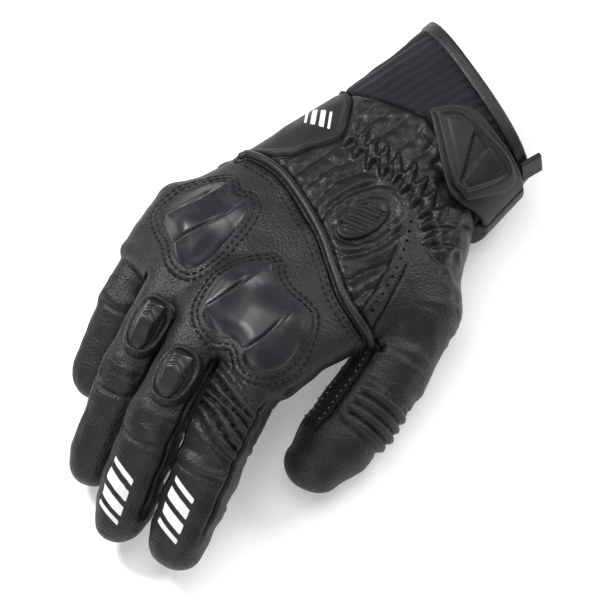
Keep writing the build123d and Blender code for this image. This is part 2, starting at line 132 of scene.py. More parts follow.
def hand_sd(x, y, z, grow=0.0):
    """Signed distance to the hand and cuff."""
    u, v = to_uv(x, y)
    s = [np.interp(v, SECTIONS[:, 0], SECTIONS[:, i]) for i in range(1, 6)]
    left, right, bottom, top, roll = s
    uc, zc = (left + right) / 2, (bottom + top) / 2
    c, t = np.cos(np.radians(roll)), np.sin(np.radians(roll))
    du, dz = u - uc, z - zc
    p, q = du * c + dz * t, -du * t + dz * c
    n = 2.15 + 0.35 * step(-20, 70, v)
    return super_sd(p, q, (right - left) / 2 + grow, (top - bottom) / 2 + grow, n)


def finger_line(name):
    """Centre line points (y, z) and scale of a finger, and its x."""
    bend, tip, rise = FINGERS[name][2:]
    base, mid = joint_at(name + "_base_curl"), joint_at(name + "_middle_curl")
    b, m = base[1:] + (0, rise), mid[1:] + (0, rise)
    e, t = m + bend, m + tip
    pts = [b + (26, 2.5), b, (b + m) / 2, m, (m + e) / 2, e, e + 0.45 * (t - e), e + 0.66 * (t - e)]
    scale = [0.98, 1.0, 0.98, 1.0, 0.96, 0.94, 0.9, 0.82]
    return np.array(pts), np.array(scale), base[0]


def finger_sd(name, x, y, z):
    """Signed distance to one finger."""
    pts, scale, fx = finger_line(name)
    width, depth = FINGERS[name][:2]
    out = None
    for i in range(len(pts) - 1):
        p, q = pts[i], pts[i + 1]
        length = np.hypot(*(q - p))
        d = (q - p) / length
        py, pz = y - p[0], z - p[1]
        along = py * d[0] + pz * d[1]
        t = np.clip(along / length, 0, 1)
        k = scale[i] + (scale[i + 1] - scale[i]) * t
        a, b = width / 2 * k, depth / 2 * k
        over = np.abs(along - t * length)
        side = py * d[1] - pz * d[0]
        n = 2.3
        f = ((np.abs(x - fx) / a) ** n + (np.abs(side) / b) ** n + 1e-9) ** (1 / n)
        f = np.sqrt(f ** 2 + (over / b) ** 2)
        sd = (f - 1) * np.minimum(a, b)
        out = sd if out is None else smin(out, sd, 2.5)
    return out


K_AXIS = np.array(JOINTS["thumb_base_curl"]["axis"])
THUMB_K, THUMB_M = joint_at("thumb_base_curl"), joint_at("thumb_middle_curl")
THUMB_LENGTH = np.linalg.norm(THUMB_M - THUMB_K)
THUMB_DIR = (THUMB_M - THUMB_K) / THUMB_LENGTH
THUMB_LEAN = np.array([-0.12, 0, -0.02])  # how the centre line drifts, for each mm past the last joint
THUMB_BACK = np.cross(THUMB_DIR, K_AXIS)


def thumb_sd(x, y, z):
    """Signed distance to the thumb."""
    out = None
    for r0, r1 in zip(THUMB[:-1], THUMB[1:]):
        p, q = THUMB_K + r0[:3], THUMB_K + r1[:3]
        d = q - p
        t = ((x - p[0]) * d[0] + (y - p[1]) * d[1] + (z - p[2]) * d[2]) / (d @ d)
        t = np.clip(t, 0, 1)
        ex, ey, ez = x - p[0] - t * d[0], y - p[1] - t * d[1], z - p[2] - t * d[2]
        across = ex * K_AXIS[0] + ey * K_AXIS[1] + ez * K_AXIS[2]
        wide, deep = r0[3] + (r1[3] - r0[3]) * t, r0[4] + (r1[4] - r0[4]) * t
        rest = np.sqrt(np.maximum(ex ** 2 + ey ** 2 + ez ** 2 - across ** 2, 0))
        f = np.sqrt((across / wide) ** 2 + (rest / deep) ** 2)
        sd = (f - 1) * np.minimum(wide, deep)
        out = sd if out is None else smin(out, sd, 4.0)
    return out


LOW = np.array([-80.0, -142.0, -4.0])
COUNT = (np.array([160.0, 284.0, 74.0]) / VOXEL).astype(int)
GX, GY, GZ = (LOW[i] + VOXEL * np.arange(COUNT[i]) for i in range(3))
GX, GY, GZ = GX[:, None, None], GY[None, :, None], GZ[None, None, :]
GX, GY, GZ = GX.astype(np.float32), GY.astype(np.float32), GZ.astype(np.float32)


def block(lo, hi):
    """Slices of the grid over a box."""
    a = np.clip(((np.array(lo) - LOW) / VOXEL).astype(int), 0, COUNT)
    b = np.clip(((np.array(hi) - LOW) / VOXEL).astype(int) + 1, 0, COUNT)
    return tuple(slice(i, j) for i, j in zip(a, b))


def web_limit(x):
    """The y at which the hand ends between the fingers."""
    xs = [-75, -62, -50, -39, -27, -16, -7, 2, 20, 45]
    ys = [-24, -27, -33, -38, -45, -51, -55, -57, -58, -58]
    return np.interp(x, xs, ys)


WEB_STARTS = (-54.0, -44.4, -31.4)  # y where neighbouring fingers part, from the index finger on
SLIT = 0.85  # half the gap between fingers that lie against each other


def partings():
    """The x of the planes between neighbouring fingers, from the index finger on."""
    names = list(FINGERS)
    return [(finger_line(a)[2] - FINGERS[a][0] / 2 + finger_line(b)[2] + FINGERS[b][0] / 2) / 2
            for a, b in zip(names[:-1], names[1:])]


def skin_field():
    """The whole glove's signed distance on the grid."""
    field = np.full(COUNT, 30.0, np.float32)
    s = block((-80, -75, -4), (80, 142, 70))
    gx, gy, gz = GX[s[0]], GY[:, s[1]], GZ[:, :, s[2]]
    hand = hand_sd(gx, gy, gz)
    hand = smax(hand, web_limit(gx) - gy, 7.0)
    v = to_uv(gx, gy)[1]
    hand = np.maximum(hand, v - CUFF_END)
    field[s] = hand
    for name in FINGERS:
        pts, _, fx = finger_line(name)
        s = block((fx - 24, pts[:, 0].min() - 20, -4), (fx + 24, pts[0, 0] + 24, 70))
        f = finger_sd(name, GX[s[0]], GY[:, s[1]], GZ[:, :, s[2]])
        near = step(-2, 9, GY[:, s[1]] - joint_at(name + "_base_curl")[1])
        field[s] = smin(field[s], f, 0.6 + 6.0 * near)
    s = block((10, -112, -4), (80, 60, 55))
    t = thumb_sd(GX[s[0]], GY[:, s[1]], GZ[:, :, s[2]])
    near = step(-4, 22, GY[:, s[1]] - THUMB_K[1])
    field[s] = smin(field[s], t, 1.0 + 15.0 * near)
    for between, web in zip(partings(), WEB_STARTS):
        s = block((between - 4, -140, -4), (between + 4, web + 2, 70))
        slit = np.minimum(SLIT - np.abs(GX[s[0]] - between), web - GY[:, s[1]])
        field[s] = np.maximum(field[s], slit)
    return field


def extract(field, low, voxel, iso=0.0):
    """Vertices and quads of a level set, wound outwards."""
    grid = openvdb.FloatGrid(background=5.0)
    grid.copyFromArray(np.ascontiguousarray(np.clip(field, -5, 5)), tolerance=0.0)
    points, quads = grid.convertToQuads(isovalue=iso)
    points = np.array(points, float) * voxel + low
    quads = np.array(quads, int)
    a, b, c = points[quads[:, 0]], points[quads[:, 1]], points[quads[:, 2]]
    if np.einsum("ij,ij->i", a, np.cross(b, c)).sum() < 0:
        quads = quads[:, ::-1]
    return points, quads


def normals_of(points, quads):
    """Unit vertex normals."""
    d = np.cross(points[quads[:, 2]] - points[quads[:, 0]], points[quads[:, 3]] - points[quads[:, 1]])
    n = np.zeros_like(points)
    for i in range(4):
        np.add.at(n, quads[:, i], d)
    return n / np.maximum(np.linalg.norm(n, axis=1, keepdims=True), 1e-9)


def relax(points, quads, rounds):
    """Smooths a mesh a little, without shrinking it."""
    edges = np.concatenate([quads[:, [i, (i + 1) % 4]] for i in range(4)])
    degree = np.bincount(edges.ravel(), minlength=len(points))[:, None]
    for i in range(rounds):
        for factor in (0.5, -0.52):
            total = np.zeros_like(points)
            np.add.at(total, edges[:, 0], points[edges[:, 1]])
            np.add.at(total, edges[:, 1], points[edges[:, 0]])
            points = points + factor * (total / degree - points)
    return points


def make_mesh(name, points, faces, materials, index=None, normals=None, mark=None):
    """A Blender object from millimetre arrays."""
    me = bpy.data.meshes.new(name)
    size = faces.shape[1]
    me.vertices.add(len(points))
    me.vertices.foreach_set("co", (points / 1000.0).astype(np.float32).ravel())
    me.loops.add(faces.size)
    me.loops.foreach_set("vertex_index", faces.astype(np.int32).ravel())
    me.polygons.add(len(faces))
    me.polygons.foreach_set("loop_start", np.arange(0, faces.size, size, dtype=np.int32))
    me.update(calc_edges=True)
    for m in materials:
        me.materials.append(m)
    if index is not None:
        me.polygons.foreach_set("material_index", index.astype(np.int32))
    me.polygons.foreach_set("use_smooth", np.ones(len(faces), bool))
    if normals is not None:
        me.normals_split_custom_set_from_vertices(normals.astype(np.float32))
    me.validate()
    if mark is not None:
        for label, values in mark.items():
            me.attributes.new(label, "FLOAT", "POINT").data.foreach_set("value", values.astype(np.float32))
    ob = bpy.data.objects.new(name, me)
    bpy.context.collection.objects.link(ob)
    return ob


# ---- materials -----------------------------------------------------------------------------------
def fill(tree, node, inputs):
    """Sets a node's inputs: a value is stored, and another node's output is linked."""
    for key, value in inputs.items():
        if isinstance(value, bpy.types.NodeSocket):
            tree.links.new(value, node.inputs[key])
        else:
            node.inputs[key].default_value = value


def add_node(tree, kind, inputs=None, **settings):
    """A new shader node with its settings and inputs."""
    node = tree.nodes.new("ShaderNode" + kind)
    for key, value in settings.items():
        setattr(node, key, value)
    fill(tree, node, inputs or {})
    return node


def material(name, colour, rough, grain, grain_size, folds=0.0, spec=0.5, sheen=0.0, marked=False):
    """Procedural leather, cloth or rubber: grain and folds drive colour, roughness and bump."""
    m = bpy.data.materials.new(name)
    m.use_nodes = True
    nt = m.node_tree
    shader = nt.nodes["Principled BSDF"]
    fill(nt, shader, {"Specular IOR Level": spec, "Sheen Weight": sheen, "Sheen Roughness": 0.5})
    place = add_node(nt, "TexCoord").outputs["Object"]
    patches = add_node(nt, "TexNoise", {"Scale": 60.0, "Detail": 4.0, "Vector": place})
    cells = add_node(nt, "TexVoronoi", {"Scale": 1000.0 / grain_size, "Smoothness": 0.35, "Vector": place},
                     feature="SMOOTH_F1")
    fine = add_node(nt, "TexNoise", {"Scale": 2200.0 / grain_size, "Detail": 2.0, "Vector": place})
    tone = add_node(nt, "MapRange", {"From Min": 0.3, "From Max": 0.7, "To Min": 0.72, "To Max": 1.3,
                                     "Value": patches.outputs["Fac"]})
    shade = add_node(nt, "VectorMath", {0: colour, "Scale": tone.outputs["Result"]}, operation="SCALE")
    if marked:
        # Painted shade: the attribute read here darkens the colour and cuts the specular in grooves, seams
        # and rib troughs.
        line = add_node(nt, "Attribute", attribute_name="groove")
        darken = add_node(nt, "MapRange", {"To Min": 1.0, "To Max": 0.1, "Value": line.outputs["Fac"]})
        shine = add_node(nt, "Math", {0: darken.outputs["Result"], 1: spec}, operation="MULTIPLY")
        scale = add_node(nt, "Math", {0: tone.outputs["Result"], 1: darken.outputs["Result"]},
                         operation="MULTIPLY")
        fill(nt, shade, {"Scale": scale.outputs[0]})
        value = add_node(nt, "Attribute", attribute_name="mark")
        edge = add_node(nt, "MapRange", {"From Min": 0.46, "From Max": 0.54, "Value": value.outputs["Fac"]})
        pale = add_node(nt, "Mix", {"B": (0.72, 0.72, 0.73, 1), "Factor": edge.outputs["Result"],
                                    "A": shade.outputs["Vector"]}, data_type="RGBA")
        fill(nt, shader, {"Specular IOR Level": shine.outputs[0], "Base Color": pale.outputs["Result"]})
    else:
        fill(nt, shader, {"Base Color": shade.outputs["Vector"]})
    gloss = add_node(nt, "MapRange", {"From Min": 0.0, "From Max": 0.8, "To Min": rough - 0.06,
                                      "To Max": rough + 0.12, "Value": cells.outputs["Distance"]})
    fill(nt, shader, {"Roughness": gloss.outputs["Result"]})
    layers = [(cells.outputs["Distance"], -grain, 0.0006), (fine.outputs["Fac"], grain * 0.5, 0.0002)]
    if folds:
        creases = add_node(nt, "TexNoise", {"Scale": 110.0, "Detail": 3.0, "Distortion": 0.6,
                                            "Vector": place}, noise_type="RIDGED_MULTIFRACTAL")
        layers.append((creases.outputs["Fac"], folds, 0.0012))
    last = None
    for height, strength, distance in layers:
        inputs = {"Strength": abs(strength), "Distance": distance, "Height": height}
        if last is not None:
            inputs["Normal"] = last.outputs["Normal"]
        last = add_node(nt, "Bump", inputs, invert=strength < 0)
    fill(nt, shader, {"Normal": last.outputs["Normal"]})
    return m


GRAIN = material("grain_leather", (0.0085, 0.0085, 0.0105), 0.43, 0.38, 1.0, folds=0.05, spec=0.33,
                 marked=True)
THIN = material("thin_leather", (0.0075, 0.0075, 0.008), 0.34, 0.25, 0.8, folds=0.05, spec=0.31, marked=True)
PALM = material("palm_leather", (0.0085, 0.0085, 0.009), 0.5, 0.3, 0.9, folds=0.08, spec=0.28, marked=True)
SMOOTH = material("smooth_patch", (0.0075, 0.0075, 0.0085), 0.46, 0.15, 0.6, spec=0.3, marked=True)
NEOPRENE = material("ribbed_neoprene", (0.010, 0.010, 0.013), 0.8, 0.35, 0.5, spec=0.2, sheen=0.06,
                    marked=True)
RUBBER = material("moulded_rubber", (0.012, 0.012, 0.0155), 0.31, 0.03, 0.4, spec=0.42)
PLASTIC = material("slider_plastic", (0.012, 0.012, 0.014), 0.27, 0.02, 0.4, spec=0.5)
THREAD = material("thread", (0.006, 0.006, 0.0065), 0.55, 0.6, 0.3, spec=0.3)
PALE_THREAD = material("pale_thread", (0.16, 0.16, 0.165), 0.6, 0.6, 0.3, spec=0.3)
PIPE = material("piping_leather", (0.007, 0.007, 0.009), 0.4, 0.2, 0.7, spec=0.4)
CLOTH = material("lining_cloth", (0.012, 0.012, 0.0125), 0.9, 0.5, 0.5, spec=0.15, sheen=0.15)
PATCH = material("grip_patch", (0.003, 0.003, 0.003), 0.6, 0.5, 0.9, spec=0.2)
HOLE = material("hole_shadow", (0.002, 0.002, 0.002), 0.9, 0.1, 0.5, spec=0.05)

# ---- skin ----------------------------------------------------------------------------------------
FIELD = skin_field()
POINTS, QUADS = extract(FIELD, LOW, VOXEL)

# The height of the glove's upper side over the plan.
inside = FIELD < 0
top_index = COUNT[2] - 1 - np.argmax(inside[:, :, ::-1], axis=2)
has = inside.any(axis=2)
ii, jj = np.meshgrid(np.arange(COUNT[0]), np.arange(COUNT[1]), indexing="ij")
k1 = np.minimum(top_index + 1, COUNT[2] - 1)
f0, f1 = FIELD[ii, jj, top_index], FIELD[ii, jj, k1]
frac = np.where(f1 > f0, -f0 / np.maximum(f1 - f0, 1e-6), 0)
TOP = np.where(has, LOW[2] + VOXEL * (top_index + np.clip(frac, 0, 1)), -20.0)


def top_z(x, y):
    """Height of the upper side at plan points."""
    fx = np.clip((np.asarray(x) - LOW[0]) / VOXEL, 0, COUNT[0] - 1.001)
    fy = np.clip((np.asarray(y) - LOW[1]) / VOXEL, 0, COUNT[1] - 1.001)
    i, j = fx.astype(int), fy.astype(int)
    a, b = fx - i, fy - j
    return ((TOP[i, j] * (1 - a) + TOP[i + 1, j] * a) * (1 - b)
            + (TOP[i, j + 1] * (1 - a) + TOP[i + 1, j + 1] * a) * b)


def smooth_line(points, spacing=1.0, closed=False):
    """Even points along a smooth curve through the given ones."""
    p = np.array(points, float)
    n = len(p)
    out = []
    for i in range(n if closed else n - 1):
        if closed:
            a, b, c, d = p[(i - 1) % n], p[i], p[(i + 1) % n], p[(i + 2) % n]
        else:
            b, c = p[i], p[i + 1]
            a = p[i - 1] if i else 2 * b - c
            d = p[i + 2] if i + 2 < n else 2 * c - b
        t = np.linspace(0, 1, 24, endpoint=False)[:, None]
        out.append(0.5 * (2 * b + (c - a) * t + (2 * a - 5 * b + 4 * c - d) * t ** 2
                          + (3 * b - 3 * c + d - a) * t ** 3))
    out = np.concatenate(out + ([] if closed else [p[-1:]]))
    if closed:
        out = np.vstack([out, out[:1]])
    gaps = np.r_[0, np.cumsum(np.linalg.norm(np.diff(out, axis=0), axis=1))]
    count = max(int(gaps[-1] / spacing), 4)
    s = np.linspace(0, gaps[-1], count + 1)
    return np.stack([np.interp(s, gaps, out[:, i]) for i in range(p.shape[1])], axis=1)


def line_distance(px, py, line):
    """Distance to a plan line, which side of it, and how far along it."""
    best = np.full(px.shape, 1e9)
    side, along = np.zeros(px.shape), np.zeros(px.shape)
    run = 0.0
    for a, b in zip(line[:-1], line[1:]):
        d = b - a
        length = np.hypot(*d) + 1e-9
        t = np.clip(((px - a[0]) * d[0] + (py - a[1]) * d[1]) / length ** 2, 0, 1)
        ex, ey = px - a[0] - t * d[0], py - a[1] - t * d[1]
        dist = np.hypot(ex, ey)
        near = dist < best
        best = np.where(near, dist, best)
        side = np.where(near, np.sign(d[0] * ey - d[1] * ex), side)
        along = np.where(near, run + t * length, along)
        run += length
    return best, side, along


def inside_outline(px, py, line):
    """Signed distance to a closed plan outline, negative inside."""
    dist = line_distance(px, py, line)[0]
    odd = np.zeros(px.shape, bool)
    for a, b in zip(line[:-1], line[1:]):
        crosses = (a[1] > py) != (b[1] > py)
        xs = a[0] + (py - a[1]) * (b[0] - a[0]) / (b[1] - a[1] + 1e-12)
        odd ^= crosses & (px < xs)
    return np.where(odd, -dist, dist)


# The points of these plan lines and outlines were picked by eye in the reference view, turned into
# millimetres by a helper program and typed in, some with changes. They are not worked out from the
# frame, as places in this script should be.
PIPING = smooth_line(plan([(-42, 29), (-37, 31.9), (-20.7, 27.9), (-4.6, 18.9), (10.8, 7.8),
                           (22.5, -3.5), (34.1, -13.6), (49, -20)]))
SMOCKING = smooth_line(plan([(-9, 60), (5, 53.4), (15.5, 50.8), (25.1, 49.7), (35, 44.9), (44.9, 40),
                             (54, 29)]))
SIDE_SEAM = smooth_line(plan([(52, -17), (49.3, -20.4), (38, -45), (26.7, -71.7)]))
STRIP = smooth_line(plan([(37, 36), (41, 24), (43.5, 8), (43.6, -14)]))
ULNAR_PATCH = smooth_line(plan([(-22, 37), (-14, 45), (-6.6, 53.2), (-8.5, 64), (-16, 77), (-40, 88),
                                (-60, 60), (-45, 34)]), closed=True)
BADGE = plan([(21.5, 22.5)])[0]
BADGE_TILT = math.radians(-22)
ARMOUR = {
    "index_middle": {
        "outline": [(-2.4, -14.6), (-0.2, -13.2), (3, -17.5), (7, -21.2), (12.8, -24.4), (19, -25.6),
                    (24.6, -28), (27.4, -36), (28.4, -46), (26, -55), (19.7, -60.5), (13.2, -60.2),
                    (8.2, -54.6), (3.3, -52.4), (-3, -54.4), (-10.5, -51.2), (-14.6, -44.5),
                    (-14.3, -33), (-10.6, -24), (-6.2, -18)],
        "blades": [((-0.6, -17.2), (-11.6, -47.5)), ((20.3, -30.2), (11.6, -57.5))],
        "nodes": ("index_middle_knuckle_shell", "index_middle_knuckle_foam"),
    },
    "ring_little": {
        "outline": [(-37.6, 14), (-33, 8.6), (-28.5, 7.6), (-24.4, 8.8), (-21.8, 5.6), (-20.6, -3),
                    (-21.8, -14.3), (-24.4, -26.5), (-29.5, -32), (-36.6, -30), (-41, -24.4),
                    (-45, -20.6), (-52, -15), (-55.4, -8.7), (-52.4, 1.7), (-45.8, 9)],
        "blades": [((-25.2, 4.5), (-39.6, -25.8)), ((-37.6, 10.7), (-50.6, -12))],
        "nodes": ("ring_little_knuckle_shell", "ring_little_knuckle_foam"),
    },
}
for armour in ARMOUR.values():
    armour["line"] = smooth_line(plan(armour["outline"]), 1.0, closed=True)
SLIDERS = {"middle": (1.6, -76.2, 18.5, 26.5), "ring": (1.8, -59.6, 17.5, 27.5)}  # x step, y, width, length


def waves(pts, wavelength, seed, stretch=(1, 1, 1), count=14):
    """Smooth random unevenness with roughly unit height."""
    rng = np.random.default_rng(seed)
    k = rng.normal(size=(count, 3))
    k *= (2 * math.pi / wavelength * rng.uniform(0.75, 1.35, (count, 1))
          / np.linalg.norm(k, axis=1, keepdims=True))
    k /= np.array(stretch)
    total = np.zeros(len(pts))
    for row, phase in zip(k, rng.uniform(0, 2 * math.pi, count)):
        total += np.cos(pts @ row + phase)
    return total / math.sqrt(count / 2)


def bump(d, width):
    return np.exp(-(d / width) ** 2)


def finger_frame(name, pts):
    """How far along a finger each point is, and its angle round it (90 is the back)."""
    line, _, fx = finger_line(name)
    yz = pts[:, 1:]
    best = np.full(len(pts), 1e9)
    s_out, n_out = np.zeros(len(pts)), np.zeros(len(pts))
    run = -np.hypot(*(line[1] - line[0]))
    line = list(smooth_line(line, 2.0))
    for a, b in zip(line[:-1], line[1:]):
        d = b - a
        length = np.hypot(*d)
        d = d / length
        rel = yz - a
        t = np.clip(rel @ d, 0, length if b is not line[-1] else 60.0)
        off = rel - t[:, None] * d
        dist = np.hypot(off[:, 0], off[:, 1])
        near = dist < best
        best = np.where(near, dist, best)
        s_out = np.where(near, run + t, s_out)
        n_out = np.where(near, d[1] * rel[:, 0] - d[0] * rel[:, 1], n_out)
        run += length
    width, depth = FINGERS[name][:2]
    return s_out, np.degrees(np.arctan2(n_out / depth, (pts[:, 0] - fx) / width))


def thumb_frame(pts):
    """How far past its knuckle a thumb point is, and its angle round it (90 is the back)."""
    rel = pts - THUMB_K
    s = rel @ THUMB_DIR
    centre = np.clip(s / THUMB_LENGTH, 0, 3)[:, None] * (THUMB_M - THUMB_K)
    rel = rel - centre - np.maximum(s - THUMB_LENGTH, 0)[:, None] * THUMB_LEAN
    return s, np.degrees(np.arctan2(rel @ THUMB_BACK, rel @ K_AXIS))


def lower_length(name):
    """How far a finger's middle joint is from its base joint."""
    return np.linalg.norm(joint_at(name + "_middle_curl") - joint_at(name + "_base_curl"))


def cuff_edge(u):
    """v where the leather ends and the ribbed cuff begins, on the back."""
    return np.interp(u, [-70, -47, -14, 10, 60], [74, 84, 104, 106, 92])


points, quads = relax(POINTS, QUADS, 2), QUADS
normals = normals_of(points, quads)
x_all, y_all, z_all = points.T
u_all, v_all = to_uv(x_all, y_all)
back = step(0.0, 0.35, normals[:, 2])
palm_side = step(0.1, 0.5, -normals[:, 2])

# Each finger's skin pieces start from its most distal web on.
WEBS = {"index": -54.8, "middle": -54.8, "ring": -45.2, "little": -32.2}
TIP_CUT = {"index": 10.5, "middle": 10.5, "ring": 10.5, "little": -5.0}


def bend_start(name):
    """Where along Y a finger's skin pieces start."""
    return min(joint_at(name + "_base_curl")[1] + 8, WEBS[name])


WRIST_START, CUFF_START = 62, 99  # v where the wrist's and the cuff's pieces begin
THUMB_CUT = 12  # where the thumb's tip piece begins, past its knuckle
labels = np.zeros(len(points), int)  # 0 hand, then wrist, cuff, and two pieces for each finger
labels[v_all > WRIST_START] = 1
labels[v_all > CUFF_START] = 2
PIECES = ["hand_skin", "wrist_skin", "cuff_skin"]
finger_of = np.full(len(points), -1)
for number, name in enumerate(FINGERS):
    pts, _, fx = finger_line(name)
    base, mid = joint_at(name + "_base_curl"), joint_at(name + "_middle_curl")
    width = FINGERS[name][0]
    planes = [fx + width / 2 + 4, *partings(), fx - width / 2 - 4]
    mine = (x_all < planes[number]) & (x_all >= planes[number + 1]) & (y_all < bend_start(name))
    mine &= finger_sd(name, x_all, y_all, z_all) < 4.0
    d = (mid - base) / np.linalg.norm(mid - base)
    past = (points - mid) @ d > -TIP_CUT[name]
    labels[mine & ~past] = len(PIECES)
    labels[mine & past] = len(PIECES) + 1
    finger_of[mine] = number
    PIECES += [name + "_lower_skin", name + "_tip_skin"]
to_thumb = thumb_sd(x_all, y_all, z_all)
reach = (points - THUMB_K) @ THUMB_DIR
is_thumb = (to_thumb < 1.5) & (reach > 0) & (labels == 0)
labels[is_thumb] = len(PIECES)
labels[is_thumb & (reach > THUMB_CUT)] = len(PIECES) + 1
PIECES += ["thumb_lower_skin", "thumb_tip_skin"]

# Distances to the plan lines.
pipe_d, pipe_side = line_distance(x_all, y_all, PIPING)[:2]
smock_d, smock_side, smock_s = line_distance(x_all, y_all, SMOCKING)
seam_d = line_distance(x_all, y_all, SIDE_SEAM)[0]
strip_d, strip_side = line_distance(x_all, y_all, STRIP)[:2]
strip_side = strip_side * line_distance(*BADGE[:, None], STRIP)[1]
patch_d = inside_outline(x_all, y_all, ULNAR_PATCH)
wristward = pipe_side
if np.median(v_all[(pipe_side > 0) & (back > 0.5)]) < np.median(v_all[(pipe_side < 0) & (back > 0.5)]):
    wristward = -wristward
hand_or_wrist = labels <= 1
on_cuff = (v_all > cuff_edge(u_all)) & (labels <= 2)
thin = ((wristward > 0) & (pipe_d > 1.0) & (patch_d > 0) & ~on_cuff & (labels <= 2) & (finger_of < 0)
        & (back > 0.02) & (v_all > 20))
thin &= (strip_side > 0) | (v_all > 72)
thin_soft = (thin * np.clip(pipe_d / 5.0, 0, 1) * np.where(v_all < 78, np.clip(strip_d / 5.0, 0, 1), 1)
             * np.clip(patch_d / 4.0, 0, 1) * back)
thin_soft *= step(0, 6, cuff_edge(u_all) - v_all)

behind = (wristward > 0) & hand_or_wrist  # on the wrist's side of the piping
facing_up = step(-0.1, 0.3, normals[:, 2])

# ---- relief: how far each skin point stands out or in --------------------------------------------
# Painted shade in grooves, seams and rib troughs: how dark each skin point is painted, and how much of its
# specular is cut.
groove = np.zeros(len(points))


def paint_groove_shade(distance, width, where):
    """Paints shade along a narrow line on the skin, in carved seams and grooves."""
    np.maximum(groove, np.exp(-(distance / width) ** 2) * where, out=groove)


relief = 0.22 * waves(points, 22, 1) + 0.05 * waves(points, 9, 2)
relief *= 1 - 0.7 * step(0.3, 1, back * (finger_of >= 0))
relief += -1.0 * bump(pipe_d - 2.4, 0.9) * back * hand_or_wrist
relief += 0.5 * bump(pipe_d, 2.5) * back * hand_or_wrist
for armour in ARMOUR.values():
    d = inside_outline(x_all, y_all, armour["line"])
    relief += (1.0 * step(6.5, 1.0, d) - 0.55 * bump(d - 2.0, 0.55) - 0.55 * bump(d - 4.4, 0.55)) * back
relief -= 0.75 * bump(seam_d, 0.8) * facing_up * (z_all > 25)
# Painted shade along the seams, the piping's edge, the patch and strip outlines and the cuff's edge.
paint_groove_shade(seam_d, 0.5, facing_up * (z_all > 25) * hand_or_wrist)
paint_groove_shade(pipe_d - 2.6, 0.6, back * hand_or_wrist)
paint_groove_shade(patch_d, 0.6, back * behind)
paint_groove_shade(strip_d - 3.2, 0.5, back * (wristward > 0) * (labels == 0) * 0.9)
paint_groove_shade(v_all - cuff_edge(u_all), 0.6, (labels <= 2) * facing_up)

# Gathered leather behind the piping: two rows of slanted pleats, and soft folds flowing from them.
bx, by = x_all - BADGE[0], y_all - BADGE[1]
ct, st = math.cos(BADGE_TILT), math.sin(BADGE_TILT)
ba, bb = bx * ct + by * st, -bx * st + by * ct
ring = np.sqrt(ba ** 2 + (bb / 1.5) ** 2)
warp = 1.3 * waves(points, 30, 5)
folds = np.abs(np.sin(math.pi * (u_all + 0.1 * v_all + warp) / 8.0)) ** 0.8 - 0.6
relief += thin_soft * step(5, 13, smock_d) * step(9, 16, ring) * 1.6 * folds
around = np.abs(np.sin(math.pi * (ring - 9.2 + 0.35 * warp) / 4.6)) ** 0.8 - 0.6
relief += thin_soft * step(4, 10, smock_d) * step(8.2, 9.4, ring) * step(20, 14, ring) * 1.5 * around
smock_signed = smock_d * smock_side
PLEAT_PITCH = 6.6
for shift, size, tilt in ((0.0, 1.0, 0.5), (3.2, 0.55, -0.35)):
    across = (smock_s + tilt * smock_signed + shift) / PLEAT_PITCH
    across = (across - np.round(across)) * PLEAT_PITCH
    half = 2.3 * size * np.clip(1 - (smock_signed / (7.5 * size)) ** 2, 0.02, 1)
    pleat = np.exp(-(np.abs(across) / half) ** 3) * step(8.0 * size, 6.0 * size, smock_d)
    relief += thin_soft * 2.5 * size * pleat
relief -= thin_soft * 0.8 * np.exp(-(smock_d / 6.0) ** 4)
relief += thin_soft * 0.12 * waves(points, 6.0, 9, (1.6, 1, 1))
relief += -0.9 * bump(patch_d, 0.8) * back * behind
relief += 0.7 * bump(patch_d + 1.8, 1.2) * back * behind
relief -= 0.7 * bump(strip_d - 3.2, 0.6) * back * (wristward > 0) * (labels == 0)
relief -= 1.0 * bump(v_all - cuff_edge(u_all), 0.9) * (labels <= 2) * facing_up

# The cuff's fine lengthwise ribs, and a band of wrinkles round the palm side of the wrist.
ribs = np.sin(2 * math.pi * u_all / 4.4)
relief += on_cuff * (0.28 * ribs - 0.15) * step(0, 4, v_all - cuff_edge(u_all))
wrist_rings = np.sin(2 * math.pi * (v_all + 1.5 * waves(points, 16, 11)) / 6.5)
relief += 0.6 * wrist_rings * palm_side * step(66, 72, v_all) * step(100, 92, v_all)

INDEX_RIB_PITCH, THUMB_RIB_PITCH = 4.0, 4.9
THUMB_PATCH = (-14, 42)  # the grip patch's ends, past the thumb's knuckle

